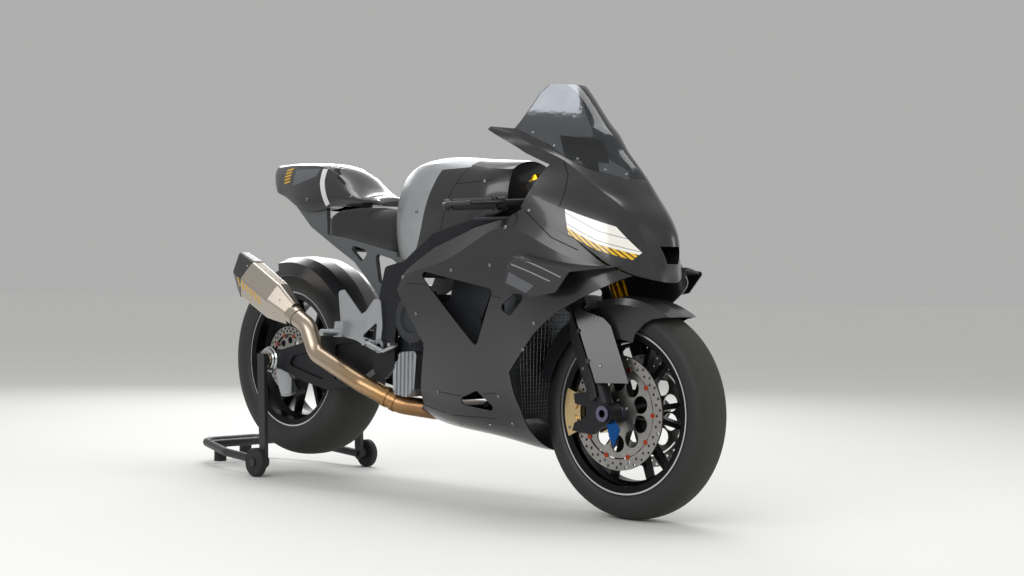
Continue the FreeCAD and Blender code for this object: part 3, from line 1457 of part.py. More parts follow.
def muffler_cap():
    """The carbon end cap: cut off at a slant, hollow towards the rear, with the outlet inside."""
    rear, way, up, side, length = muffler_axis()
    outer = [muffler_ring(0, cap_outer_shares[0], muffler_slant),
             muffler_ring(muffler_cap_length - joint_gap, cap_outer_shares[1])]
    inner = [muffler_ring(-overrun, cap_inner_shares[0], muffler_slant),
             muffler_ring(muffler_cap_length - muffler_cap_floor, cap_inner_shares[1])]
    cup = Part.makeLoft(outer, True, True).cut(Part.makeLoft(inner, True, True))
    start = rear + way * (muffler_cap_length * outlet_start_share)
    reach = muffler_cap_length * (1 - outlet_start_share)
    outlet = Part.makeCylinder(outlet_radius, reach, start, way)
    bore = Part.makeCylinder(outlet_radius - outlet_wall, reach, start - way * muffler_cap_floor, way)
    return joined([cup, outlet]).cut(bore)


def link_pipe():
    """The pipe from the collector up to the muffler, with two clamp bands at its lower joint."""
    rear, way, up, side, length = muffler_axis()
    end = rear + way * (length * (1 + muffler_neck_share) + joint_gap)
    points = link_places() + [end + way * (2 * link_radius), end]
    pieces = [bent_tube(points, link_radius, link_bend)]
    run = points[3] - points[2]
    run.normalize()
    for along in link_band_places:
        pieces.append(Part.makeCylinder(link_band_radius, link_radius / 2, points[2] + run * along, run))
    return biggest(joined(pieces).cut(collector(joint_gap)))


def swingarm():
    """Two arms with pockets in their outer faces, a brace, the pivot tube and the shock's lug."""
    outer, inner = -arm_offset - arm_half_thickness, -arm_offset + arm_half_thickness
    arm = slab(arm_shares, outer, inner, arm_corner)
    for window in arm_window_shares:
        arm = arm.cut(slab(window, outer - overrun, outer + arm_window_depth, opening_corner))
    brace = slab(brace_shares, -arm_offset, arm_offset, arm_corner)
    reach = plate_inner - joint_gap
    pivot = drum(spot(pivot_share), pivot_tube_radius, -reach, reach)
    lug = slab(shock_lug_shares, -shock_lug_half_width, shock_lug_half_width, opening_corner)
    solid = joined([arm, mirrored(arm), brace, pivot, lug])
    reach = rear_axle_half_length
    axle_bore = drum(rear_axle, rear_axle_radius + joint_gap, -reach, reach)
    return solid.cut(axle_bore).cut(drum(spot(pivot_share), pivot_radius + joint_gap, -reach, reach))


def pivot_bolt():
    """The hollow swingarm pivot with a round head at each side."""
    centre = spot(pivot_share)
    reach = plate_inner + plate_thickness
    pieces = [drum(centre, pivot_radius, -reach, reach),
              drum(centre, pivot_head_radius, reach, reach + pivot_head_length),
              drum(centre, pivot_head_radius, -reach, -reach - pivot_head_length)]
    return joined(pieces).cut(drum(centre, pivot_bolt_bore, -reach - overrun, reach + overrun))


def rear_hugger():
    """A thin arch over the front of the rear tyre, held by a lug to each arm."""
    outer = rear_tyre_radius + hugger_gap
    half = [(hugger_half_width, outer - hugger_skirt)]
    for side, drop in hugger_shoulder_places:
        half.append((side, outer - drop))
    line = [(-side, reach) for side, reach in half] + [(0, outer + hugger_crown)] + half[::-1]
    narrower = 1 - hugger_wall / hugger_half_width
    inner = [(side * narrower, reach - hugger_wall) for side, reach in reversed(line)]
    points = [V(rear_axle.x + reach, side, rear_axle.z) for side, reach in line + inner]
    ring = Part.Face(polygon(points))
    ring.rotate(rear_axle, -ALONG_Y, hugger_start)
    arch = ring.revolve(rear_axle, -ALONG_Y, hugger_sweep)
    place = turn_point(rear_axle, math.radians(hugger_lug_angle), outer - hugger_lug_drop)
    lug = drum(place, hugger_lug_radius, hugger_half_width - hugger_wall + joint_gap,
               arm_offset - arm_half_thickness - joint_gap)
    return joined([arch, lug, mirrored(lug)])


def chain_line():
    """The chain's pins in order round both sprockets, each with its outward angle."""
    big, small = pitch_radius(rear_teeth), pitch_radius(front_teeth)
    front = spot(front_sprocket_share)
    span = front - rear_axle
    distance = math.hypot(span.x, span.z)
    heading = math.atan2(span.z, span.x)
    spread = math.acos((big - small) / distance)
    links = round(math.sqrt(distance ** 2 - (big - small) ** 2) / chain_pitch)
    line = []
    runs = ((rear_axle, big, heading + spread, 2 * math.pi - 2 * spread, front, small),
            (front, small, heading - spread, 2 * spread, rear_axle, big))
    for centre, reach, start, arc, other, other_reach in runs:
        steps = round(arc * reach / chain_pitch)
        for i in range(steps + 1):
            angle = start + arc * i / steps
            line.append((turn_point(centre, angle, reach), angle))
        first, last = turn_point(centre, start + arc, reach), turn_point(other, start + arc, other_reach)
        for i in range(1, links):
            line.append((first + (last - first) * (i / links), start + arc))
    return line


def chain():
    """The closed loop of the chain, each link's plates bulging at its ends."""
    line = chain_line()
    low = V(0, chain_offset - chain_half_width, 0)
    faces = []
    for way in (chain_height / 2, -chain_height / 2):
        ring = []
        for i, (point, angle) in enumerate(line):
            after = line[(i + 1) % len(line)][0]
            out = V(math.cos(angle), 0, math.sin(angle)) * way
            ring.append(point + out + low)
            ring.append((point + after) * 0.5 + out * link_waist_share + low)
        faces.append(Part.Face(polygon(ring)))
    return faces[0].cut(faces[1]).extrude(V(0, 2 * chain_half_width, 0))


def rear_shock():
    """The rear spring and damper between the swingarm's lug and the frame's tie."""
    low, high = spot(shock_foot_share), spot(frame_tie_share)
    way = high - low
    way.normalize()
    low = low + way * (tie_radius + joint_gap)
    length = (high - low).Length - tie_radius - joint_gap
    body_foot = low + way * (length * shock_start_share)
    pieces = [Part.makeCylinder(shock_rod_radius, length, low, way),
              Part.makeCylinder(shock_body_radius, length * shock_body_share, body_foot, way)]
    for share in spring_seat_shares:
        pieces.append(Part.makeCylinder(spring_seat_radius, spring_seat, low + way * (length * share), way))
    first, last = [length * share for share in spring_seat_shares]
    pitch = (last - first - spring_seat) / (coil_count + 1)
    half = coil_wire / 2
    inner = shock_body_radius - side_gap
    for i in range(coil_count):
        middle = first + spring_seat + pitch * (i + 1)
        shoulder = coil_radius - half / 2
        profile = [(middle - half, inner), (middle - half, shoulder), (middle - half / 2, coil_radius),
                   (middle + half / 2, coil_radius), (middle + half, shoulder), (middle + half, inner)]
        pieces.append(turned_along(low, way, profile))
    return joined(pieces)


def rearset():
    """The right foot control: bracket, heel guard, peg and pedal on one plate."""
    face = -plate_inner - plate_thickness - joint_gap
    back = face - rearset_plate
    plate = slab(rearset_shares, back, face, seat_corner)
    for hole in rearset_hole_shares:
        plate = plate.cut(slab(hole, back - overrun, face + overrun, pedal_radius))
    guard = slab(heel_guard_shares, back, back + heel_guard_wall, seat_corner)
    peg_spot = spot(peg_share)
    peg = drum(peg_spot, peg_radius, back - peg_length, face)
    lug = slab_at(peg_spot, peg_lug_shares, peg_radius, back - peg_lug, face)
    arm_side = face - pedal_offset
    pedal = bent_tube([spot(pedal_root_share, arm_side), spot(pedal_middle_share, arm_side - side_gap),
                       spot(pedal_tip_share, arm_side - pedal_splay),
                       spot(pedal_tip_share, arm_side - pedal_splay - pedal_pad)], pedal_radius, pedal_bend)
    boss = drum(spot(pedal_root_share), peg_radius, arm_side - pedal_radius, face)
    head = drum(spot(pivot_share), pivot_head_radius + joint_gap, arm_side + pedal_radius + side_gap,
                face + overrun)
    return joined([plate, guard, peg, lug, pedal, boss]).cut(head)


def stand_feet():
    feet = []
    tube = drum(spot(stand_rear_share), stand_tube_radius + joint_gap, -stand_handle_half_width,
                stand_handle_half_width)
    for way in (-1, 1):
        place = spot(stand_rear_share, way * stand_foot_offset)
        place += V(stand_foot_radius - stand_tube_radius, 0, 0)
        foot = Part.makeCylinder(stand_foot_radius, place.z - stand_tube_radius + stand_foot_bite,
                                 V(place.x, place.y, 0), ALONG_Z)
        feet.append(foot.cut(tube))
    return Part.makeCompound(feet)


def stand_wheel(way):
    """A small rubber-tyred wheel on the stand's stub axle."""
    low = stand_arm_offset + stand_tube_radius + stand_boss_gap
    high = low + stand_wheel_width
    bore, edge = stand_bolt_radius + running_gap, stand_wheel_edge
    profile = [(low, bore), (low, stand_wheel_radius - edge), (low + edge, stand_wheel_radius),
               (high - edge, stand_wheel_radius), (high, stand_wheel_radius - edge), (high, bore)]
    return turned(stand_wheel_centre, [(way * side, reach) for side, reach in profile])


def paddock_stand():
    """The rear stand: side tubes, posts up to pins in the axle's ends, cross tube and bowed handle."""
    offset = stand_arm_offset
    half = [stand_wheel_centre - V(0, offset, 0), spot(stand_knee_share, -offset),
            spot(stand_rear_share, -stand_handle_half_width)]
    route = half + [V(p.x, -p.y, p.z) for p in reversed(half)]
    pieces = [bent_tube(route, stand_tube_radius, stand_bend),
              drum(spot(stand_cross_share), stand_tube_radius, -stand_cross_half_width,
                   stand_cross_half_width)]
    boss_end = offset + stand_tube_radius + stand_boss_gap - side_gap
    stub_start = boss_end + stand_wheel_width + 2 * side_gap
    for way in (-1, 1):
        post_low, post_high = sorted((way * (offset - stand_post_half_thickness),
                                      way * (offset + stand_post_half_thickness)))
        pieces.append(slab_at(rear_axle, post_shares, rear_axle_height, post_low, post_high))
        pieces.append(drum(rear_axle, rear_axle_bore - stand_pin_gap,
                           way * (rear_axle_half_length - stand_pin_depth), way * offset))
        pieces.append(drum(stand_wheel_centre, stand_bolt_radius, way * offset,
                           way * (stub_start + stand_washer)))
        pieces.append(drum(stand_wheel_centre, stand_boss_radius, way * (offset - stand_post_half_thickness),
                           way * boss_end))
        pieces.append(drum(stand_wheel_centre, stand_bolt_radius + stand_boss_gap, way * stub_start,
                           way * (stub_start + stand_washer)))
    return joined(pieces)


def main():
    block = engine_block()
    hull = lofted_along(hull_station_shares, hull_creases, panel_wall)
    nose = lofted_up(nose_station_shares, nose_creases, nose_wall)
    tank_body = lofted_along(tank_station_shares, tank_creases)
    tail_body = lofted_along(tail_station_shares, tail_creases)
    nose_body = lofted_up(nose_station_shares, nose_creases)
    duct = intake_duct(nose_body)
    right_panel = side_fairing(hull)
    tank, cover = tank_pieces(tank_body)
    nodes = {
        "frame": frame(),
        "subframe": subframe(tail_body, tank_body),
        "swingarm": swingarm(),
        "pivot_bolt": pivot_bolt(),
        "rear_axle": rear_axle_tube(),
        "rear_shock": rear_shock(),
        "engine": block,
        "clutch_cover": clutch_cover(),
        "generator_cover": generator_cover(),
        "sprocket_cover": sprocket_cover(),
        "front_sprocket": front_sprocket(),
        "sump_casting": sump_casting(),
        "radiator": radiator(block),
        "header_pipes": header_pipes(block),
        "link_pipe": link_pipe(),
        "muffler": muffler(),
        "muffler_cap": muffler_cap(),
        "chain": chain(),
        "rear_hugger": rear_hugger(),
        "rear_caliper": rear_caliper(),
        "foot_controls": pair(rearset()),
        "fuel_tank": tank,
        "tank_cover": cover,
        "seat": seat(),
        "tail_cowl": tail_cowl(tail_body),
        "upper_fairing": upper_fairing(nose),
        "lamp_panels": lamp_panels(nose),
        "windscreen": windscreen(nose),
        "side_fairing_right": right_panel,
        "side_fairing_left": mirrored(right_panel),
        "belly_pan": belly_pan(hull),
        "winglets": winglets(lofted_along(hull_station_shares, hull_creases), nose_body, right_panel),
        "intake_duct": duct,
        "instrument_panel": instrument_panel(duct),
        "paddock_stand": paddock_stand(),
        "stand_feet": stand_feet(),
        "stand_wheel_right": stand_wheel(-1),
        "stand_wheel_left": stand_wheel(1),
        "triple_clamps": triple_clamps(),
        "fork_tubes": fork_tubes(),
        "fork_legs": fork_legs(),
        "fork_guards": fork_guards(),
        "front_axle": front_axle_tube(),
        "front_calipers": front_calipers(),
        "front_fender": front_fender(),
        "clip_ons": clip_ons(),
        "grips": grips(),
        "levers": levers(),
        "lever_guards": lever_guards(),
    }
    nodes.update(front_wheel_parts())
    nodes.update(rear_wheel_parts())
    os.makedirs("parts", exist_ok=True)
    for name, shape in nodes.items():
        shape.exportStep("parts/" + name + ".step")


main()
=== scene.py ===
# %% [markdown]
# # A racing sport bike on its paddock stand
# The bike's frame, wheels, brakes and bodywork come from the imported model, already at their real
# size and place. This lesson gives them their finishes, adds the small things that make them
# believable, and lights them like a product in a studio. Every length is in metres, and +X points
# forward, +Y to the rider's left and +Z up.

# %% Load the frame
import math
import bmesh
import bpy
from mathutils import Matrix, Vector
from mathutils.bvhtree import BVHTree
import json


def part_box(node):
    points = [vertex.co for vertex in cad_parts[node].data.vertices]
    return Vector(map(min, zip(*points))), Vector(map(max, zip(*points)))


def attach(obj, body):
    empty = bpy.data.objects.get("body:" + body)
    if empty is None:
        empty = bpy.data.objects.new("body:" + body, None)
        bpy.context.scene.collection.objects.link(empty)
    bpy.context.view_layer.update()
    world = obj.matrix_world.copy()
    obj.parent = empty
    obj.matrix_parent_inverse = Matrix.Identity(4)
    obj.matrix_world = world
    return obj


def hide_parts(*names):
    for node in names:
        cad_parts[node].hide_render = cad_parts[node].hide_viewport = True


MM = 0.001
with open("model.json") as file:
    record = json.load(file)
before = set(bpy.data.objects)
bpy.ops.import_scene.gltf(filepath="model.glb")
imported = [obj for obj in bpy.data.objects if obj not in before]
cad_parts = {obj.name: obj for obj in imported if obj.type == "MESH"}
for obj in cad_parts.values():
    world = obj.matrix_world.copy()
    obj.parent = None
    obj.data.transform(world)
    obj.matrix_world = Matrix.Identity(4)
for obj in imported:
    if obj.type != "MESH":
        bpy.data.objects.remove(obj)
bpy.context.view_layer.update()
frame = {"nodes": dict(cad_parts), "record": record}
nodes = frame["nodes"]
rear_reach = -0.6435
front_axle = Vector((0.8135, 0, 0.3))
rear_axle = Vector((rear_reach, 0, 0.388))

# %% [markdown]
# ## The camera
# The photograph looks at the bike's right front corner from the height of the handlebars' lower
# clamp, a long way off with a long lens. The camera is turned by its azimuth, elevation and roll,
# so that it repeats the photograph's viewing angle.

# %% Set the camera
camera_place = Vector((3.7255, -3.421, 0.652))
camera_azimuth = math.radians(44.81)
camera_elevation = math.radians(0.14)
camera_roll = math.radians(0.79)


def camera_turn(azimuth, elevation, roll):
    """The camera's rotation from where it stands round the object."""
    level = math.cos(elevation)
    back = Vector((math.sin(azimuth) * level, -math.cos(azimuth) * level, math.sin(elevation)))
    right = Vector((0, 0, 1)).cross(back).normalized()
    up = back.cross(right)
    rolled_right = right * math.cos(roll) + up * math.sin(roll)
    rolled_up = up * math.cos(roll) - right * math.sin(roll)
    return Matrix((rolled_right, rolled_up, back)).transposed()


lens = bpy.data.cameras.new("camera")
lens.sensor_width = 36.0
lens.lens = 56.28
camera = bpy.data.objects.new("camera", lens)
bpy.context.scene.collection.objects.link(camera)
camera.matrix_world = Matrix.Translation(camera_place) @ camera_turn(
    camera_azimuth, camera_elevation, camera_roll).to_4x4()
bpy.context.scene.camera = camera
print("camera:", tuple(camera_place), "lens", lens.lens)

# %% [markdown]
# ## Colours and nodes
# A designer picks colours as sRGB hex values, but a shader works in linear light, so one function
# turns them. A second one adds a node to a tree with its settings and its links, and every finish
# and every Geometry Nodes tree below is written with it.

# %% Helpers for node trees
# Short names for the kinds of node that nearly every finish has.
NOISE = "ShaderNodeTexNoise"
MATH = "ShaderNodeMath"
VECTOR_MATH = "ShaderNodeVectorMath"
MIX = "ShaderNodeMix"
RANGE = "ShaderNodeMapRange"
BUMP = "ShaderNodeBump"
COLOURS = {"data_type": "RGBA"}


def linear(code):
    """A linear RGBA colour from an sRGB hex value."""
    values = [int(code[i:i + 2], 16) / 255 for i in (1, 3, 5)]
    bent = [v / 12.92 if v <= 0.04045 else ((v + 0.055) / 1.055) ** 2.4 for v in values]
    return (*bent, 1.0)


def add(tree, kind, settings=None, **inputs):
    """Adds a node. Its settings are a dictionary, or the name of its operation.
    An input is a plain value, or a socket or node (its first output) to link. It is named by its
    socket, with _ for a space, or by _ and its number."""
    node = tree.nodes.new(kind)
    if isinstance(settings, str):
        settings = {"operation": settings}
    for name, value in (settings or {}).items():
        setattr(node, name, value)
    for name, value in inputs.items():
        socket = node.inputs[int(name[1:]) if name[0] == "_" else name.replace("_", " ")]
        if isinstance(value, bpy.types.Node):
            value = value.outputs[0]
        if isinstance(value, bpy.types.NodeSocket):
            tree.links.new(value, socket)
        else:
            socket.default_value = value
    return node


def new_material(name):
    """An empty node material, its tree, and the socket for each point's place on the object."""
    material = bpy.data.materials.new(name)
    material.use_nodes = True
    tree = material.node_tree
    tree.nodes.clear()
    return material, tree, add(tree, "ShaderNodeTexCoord").outputs["Object"]


def shaded(tree, **inputs):
    """Ends a material: its shader with all that feeds it, and the output."""
    add(tree, "ShaderNodeOutputMaterial", _0=add(tree, "ShaderNodeBsdfPrincipled", **inputs))


def tones(code, shift):
    """A darker and a lighter neighbour of a colour."""
    base = linear(code)[:3]
    return (*[v * (1 - shift) for v in base], 1), (*[min(1, v * (1 + shift)) for v in base], 1)


# %% [markdown]
# ## Painted, moulded and bare finishes
# Most of the bike is paint, moulded plastic, rubber or plain metal. None of them is one flat
# colour: a slow cloud of noise shifts tone and gloss a little, as handling and casting do, and a
# fine bump, sized from the real grain, breaks the reflections. Each is named for what it is made
# of and how its surface was made.

# %% A plain finish


def finish(name, colour, roughness, metallic=0.0, cloud_mm=40, shift=0.08, spread=0.15,
           grain_mm=0.0, depth_mm=0.0, **constants):
    """A surface with a slow change of tone and gloss and, where asked, a fine grain."""
    material, tree, place = new_material(name)
    cloud = add(tree, NOISE, Vector=place, Scale=1 / (cloud_mm * MM), Detail=4.0)
    dark, light = tones(colour, shift)
    base = add(tree, MIX, COLOURS, _0=cloud, _6=dark, _7=light)
    gloss = add(tree, RANGE, _0=cloud, _3=roughness * (1 - spread), _4=roughness * (1 + spread))
    if grain_mm:
        grain = add(tree, NOISE, Vector=place, Scale=1 / (grain_mm * MM), Detail=2.0)
        constants["Normal"] = add(tree, BUMP, Height=grain, Distance=depth_mm * MM)
    shaded(tree, Base_Color=base.outputs[2], Roughness=gloss, Metallic=metallic, **constants)
    return material


finishes = {
    # Hard-anodised aluminium, bead-blasted first: an even dark satin with a metal's dim glow.
    "frame_black": finish("aluminium, blasted and anodised black", "#26272a", 0.42, 0.7,
                          grain_mm=0.9, depth_mm=0.03),
    # Cast aluminium under grey paint: soft highlights and the casting's slight pebbling.
    "frame_grey": finish("cast aluminium, grey paint", "#55585b", 0.45, 0.2, grain_mm=1.6,
                         depth_mm=0.05),
    # Sand-cast magnesium under a dark coat: rough enough to show the grain of the sand.
    "engine_grey": finish("sand-cast magnesium, dark coat", "#34363a", 0.5, 0.55, grain_mm=1.4,
                          depth_mm=0.12),
    # Die-cast aluminium left bare: bright, with a mealy skin that scatters the light.
    "bare_aluminium": finish("die-cast aluminium, bare", "#b4b7ba", 0.38, 1.0, grain_mm=1.8,
                             depth_mm=0.06),
    # Zinc-plated steel: a cool bright metal for bolts, shafts and springs.
    "steel": finish("steel, zinc-plated", "#9b9c9f", 0.32, 1.0, cloud_mm=12),
    # Chain steel in a film of oil: darker, warmer and glossier in patches.
    "chain_steel": finish("chain steel, oiled", "#6a655c", 0.3, 1.0, cloud_mm=8, shift=0.25,
                          spread=0.4),
    # Powder coat: the orange-peel skin of a paint that was melted on.
    "stand_black": finish("steel, black powder coat", "#1f1f21", 0.45, grain_mm=2.2, depth_mm=0.08),
    # Injection-moulded rubber: matt, with a dusty bloom in slow patches.
    "rubber_black": finish("rubber, moulded", "#1b1b1b", 0.72, cloud_mm=15, shift=0.2, grain_mm=0.7,
                           depth_mm=0.05),
    # Textured ABS, spark-eroded mould: an even matt grain that hides scratches.
    "plastic_black": finish("ABS plastic, textured mould", "#202022", 0.5, grain_mm=0.8,
                            depth_mm=0.05),
    # Radiator enamel over thin fins: a dull dark grey with a little metal in it.
    "radiator_dark": finish("aluminium, radiator enamel", "#5a5d61", 0.42, 0.8, cloud_mm=25),
    # Titanium-nitride coat on the sliding tubes: a hard mirror-like gold.
    "gold_anodised": finish("steel tube, titanium-nitride coat", "#dba31f", 0.2, 1.0, cloud_mm=30),
    # Nickel-plated aluminium: a warm silver that mirrors the disc beside it.
    "caliper_nickel": finish("aluminium, nickel-plated", "#c3ab80", 0.24, 1.0, cloud_mm=20,
                             grain_mm=2.0, depth_mm=0.02),
}
print("plain finishes:", len(finishes))

# %% [markdown]
# ## The bodywork's lacquer
# The panels are carbon shells under a satin black lacquer. A sprayed coat is never flat: a slow
# ripple about 8 mm wide, a few microns deep, bends the edges of each highlight. A thin clear coat
# over a softer base gives the two highlights of real lacquer, one broad and one fine.

# %% Satin black lacquer
material, tree, place = new_material("satin black lacquer, sprayed")
ripple = add(tree, NOISE, Vector=place, Scale=1 / (8 * MM), Detail=2.0)
wipes = add(tree, NOISE, Vector=place, Scale=1 / (160 * MM), Detail=5.0)
dark, light = tones("#141518", 0.1)
base = add(tree, MIX, COLOURS, _0=wipes, _6=dark, _7=light)
gloss = add(tree, RANGE, _0=wipes, _3=0.27, _4=0.4)
bump = add(tree, BUMP, Height=ripple, Distance=0.03 * MM)
shaded(tree, Base_Color=base.outputs[2], Roughness=gloss, Normal=bump,
       Coat_Weight=0.5, Coat_Roughness=0.1)
finishes["body_black"] = material
print("lacquer:", material.name)

# %% [markdown]
# ## Carbon fibre
# The fenders, guards and wings are 2x2 twill: each flat tow passes over two and under two, one
# step further in every row, which draws diagonals. Real tows are 2 mm wide and would vanish at
# this distance, so they are drawn 3 mm wide. The two directions of tow differ in tone and gloss,
# because the fibres catch the light along their length.

# %% Twill carbon under satin lacquer


def carbon(name, tow_mm, along, up, coat_roughness):
    """Twill in the plane of two directions on the object."""
    material, tree, place = new_material(name)
    tow = tow_mm * MM
    across = add(tree, VECTOR_MATH, "DOT_PRODUCT", _0=place,
                 _1=tuple(v / tow for v in along)).outputs["Value"]
    rising = add(tree, VECTOR_MATH, "DOT_PRODUCT", _0=place,
                 _1=tuple(v / tow for v in up)).outputs["Value"]
    column = add(tree, MATH, "FLOOR", _0=across)
    row = add(tree, MATH, "FLOOR", _0=rising)
    step = add(tree, MATH, "ADD", _0=column, _1=row)
    turn = add(tree, MATH, "FLOORED_MODULO", _0=step, _1=4.0)
    over = add(tree, MATH, "LESS_THAN", _0=turn, _1=1.5)
    ridge = add(tree, MIX, {"data_type": "FLOAT"}, _0=over, _2=across, _3=rising)
    wave = add(tree, MATH, "PINGPONG", _0=ridge, _1=0.5)
    base = add(tree, MIX, COLOURS, _0=over, _6=linear("#17181a"), _7=linear("#1f2023"))
    gloss = add(tree, RANGE, _0=over, _3=0.4, _4=0.34)
    bump = add(tree, BUMP, Height=wave, Distance=0.06 * MM, Strength=0.3)
    shaded(tree, Base_Color=base.outputs[2], Roughness=gloss, Normal=bump,
           Coat_Weight=0.6, Coat_Roughness=coat_roughness)
    return material


slanted = 1 / math.sqrt(2)
finishes["carbon"] = carbon("carbon twill, satin lacquer", 3.0, (slanted, 0.5, slanted),
                            (-slanted, 0.5, slanted), 0.2)
print("carbon:", finishes["carbon"].name)

# %% [markdown]
# ## Brushed titanium and its heat colours
# The muffler and the pipes are thin titanium sheet, brushed along their length. Brushing leaves
# fine streaks, so noise is stretched 24 times along the bike. Near the engine the heat has
# grown an oxide film: straw, then bronze, then a trace of blue. A colour ramp along X draws it.

# %% Titanium
material, tree, place = new_material("titanium sheet, brushed and heat-tinted")
stretch = add(tree, "ShaderNodeMapping", Vector=place,
              Scale=(1 / (60 * MM), 1 / (2.5 * MM), 1 / (2.5 * MM)))
streaks = add(tree, NOISE, Vector=stretch, Scale=1.0, Detail=3.0)
parts = add(tree, "ShaderNodeSeparateXYZ", _0=place)
heat_cloud = add(tree, NOISE, Vector=place, Scale=1 / (70 * MM), Detail=2.0)
shifted = add(tree, MATH, "MULTIPLY_ADD", _0=heat_cloud, _1=0.12, _2=parts)
heat = add(tree, RANGE, _0=shifted, _1=-0.45, _2=0.35)
ramp = add(tree, "ShaderNodeValToRGB", _0=heat)
ramp.color_ramp.elements[0].color = linear("#b3aba1")
ramp.color_ramp.elements[1].color = linear("#6f6a80")
for stop, code in ((0.35, "#b09c84"), (0.6, "#a98458"), (0.82, "#86664f")):
    ramp.color_ramp.elements.new(stop).color = linear(code)
brushed = add(tree, RANGE, _0=streaks, _3=0.2, _4=0.45)
bump = add(tree, BUMP, Height=streaks, Distance=0.03 * MM)
shaded(tree, Base_Color=ramp, Roughness=brushed, Normal=bump, Metallic=1.0)
finishes["titanium"] = material
print("titanium:", material.name)

# %% [markdown]
# ## Ground brake steel
# A disc is ground on a turntable and then swept by its pads, so its scratches are circles round
# the axle. The distance from the nearer axle, taken at a fine scale, gives those rings, and a slow
# noise shifts the steel's tone a little.

# %% Disc steel


def reach_from(tree, place, axle):
    """The socket for each point's distance from an axle."""
    from_axle = add(tree, VECTOR_MATH, "SUBTRACT", _0=place, _1=tuple(axle))
    flat = add(tree, VECTOR_MATH, "MULTIPLY", _0=from_axle, _1=(1, 0, 1))
    return add(tree, VECTOR_MATH, "LENGTH", _0=flat).outputs["Value"]


material, tree, place = new_material("brake steel, ground in rings")
reach = add(tree, MATH, "MINIMUM", _0=reach_from(tree, place, front_axle),
            _1=reach_from(tree, place, rear_axle))
rings = add(tree, NOISE, {"noise_dimensions": "1D"}, W=reach, Scale=1 / (1.2 * MM), Detail=2.0)
wear = add(tree, NOISE, Vector=place, Scale=1 / (30 * MM))
base = add(tree, MIX, COLOURS, _0=wear, _6=linear("#84827f"), _7=linear("#a9a7a3"))
gloss = add(tree, RANGE, _0=rings, _3=0.22, _4=0.42)
bump = add(tree, BUMP, Height=rings, Distance=0.02 * MM)
shaded(tree, Base_Color=base.outputs[2], Roughness=gloss, Normal=bump, Metallic=1.0)
finishes["disc_steel"] = material
print("disc steel:", material.name)

# %% [markdown]
# ## Forged wheels with a bright lip
# The wheels are forged, anodised black, and their outer lip is then turned bright on a lathe. The
# same distance from the axle picks out the lip: a narrow ring of bare metal.

# %% Rim finish
lip_low, lip_high = 224.5 * MM, 229.2 * MM
material, tree, place = new_material("forged aluminium, black with a turned lip")
reach = add(tree, MATH, "MINIMUM", _0=reach_from(tree, place, front_axle),
            _1=reach_from(tree, place, rear_axle))
past = add(tree, MATH, "GREATER_THAN", _0=reach, _1=lip_low)
within = add(tree, MATH, "LESS_THAN", _0=reach, _1=lip_high)
lip = add(tree, MATH, "MULTIPLY", _0=past, _1=within)
cloud = add(tree, NOISE, Vector=place, Scale=1 / (25 * MM), Detail=3.0)
dark, light = tones("#17181a", 0.15)
black = add(tree, MIX, COLOURS, _0=cloud, _6=dark, _7=light)
base = add(tree, MIX, COLOURS, _0=lip, _6=black.outputs[2], _7=linear("#c9cacc"))
gloss = add(tree, RANGE, _0=cloud, _3=0.25, _4=0.38)
shaded(tree, Base_Color=base.outputs[2], Roughness=gloss, Metallic=0.85)
finishes["rim_black"] = material
print("rim lip from", lip_low, "to", lip_high)

# %% [markdown]
# ## Tyre rubber
# A racing slick has no grooves. Its sidewall keeps the fine lines of the turned mould, and its
# tread, once run, goes matt, greyer and slightly rolled. The distance from the axle tells the two
# apart: the mould lines fade out towards the crown, where a coarser scuffing takes over.

# %% Slick tyre finish


def tyre_finish(name, axle, shoulder_mm, crown_mm):
    """Mould lines below the shoulder, scuffed tread above it."""
    material, tree, place = new_material(name)
    reach = reach_from(tree, place, axle)
    tread = add(tree, RANGE, {"interpolation_type": "SMOOTHSTEP"}, _0=reach,
                _1=shoulder_mm * MM, _2=crown_mm * MM)
    lines = add(tree, NOISE, {"noise_dimensions": "1D"}, W=reach, Scale=1 / (3 * MM), Detail=1.0)
    scuffs = add(tree, NOISE, Vector=place, Scale=1 / (4 * MM), Detail=5.0, Roughness=0.7)
    height = add(tree, MIX, {"data_type": "FLOAT"}, _0=tread, _2=lines, _3=scuffs)
    bump = add(tree, BUMP, Height=height, Distance=0.25 * MM, Strength=0.6)
    worn = add(tree, MATH, "MULTIPLY", _0=tread, _1=scuffs)
    base = add(tree, MIX, COLOURS, _0=worn, _6=linear("#191919"), _7=linear("#343331"))
    gloss = add(tree, RANGE, _0=tread, _3=0.5, _4=0.78)
    shaded(tree, Base_Color=base.outputs[2], Roughness=gloss, Normal=bump)
    return material


front_rubber = tyre_finish("slick rubber, front", front_axle, 262, 290)
rear_rubber = tyre_finish("slick rubber, rear", rear_axle, 270, 312)
finishes["tyre_black"] = front_rubber
print("rubber:", front_rubber.name, rear_rubber.name)

# %% [markdown]
# ## Seat cover, lamps and screen
# The pad's cover is a grippy suede-like sheet: a felted nap about 1.5 mm across with a soft sheen
# at grazing angles. The lamps are white lenses whose lower edge carries slanted black and yellow
# bars, 12 mm apart. The screen is smoked polycarbonate: it tints what lies behind it and keeps a
# sharp highlight.

# %% Seat, lamp and screen finishes
finishes["seat_black"] = finish("suede-like seat cover, felted", "#1c1c1e", 0.85, cloud_mm=30,
                                shift=0.15, grain_mm=1.5, depth_mm=0.25, Sheen_Weight=0.35,
                                Sheen_Roughness=0.4)
hatch_height, bar_pitch, bar_black = 0.017, 0.012, 0.004
rib_pitch, rib_width = 0.026, 0.0022


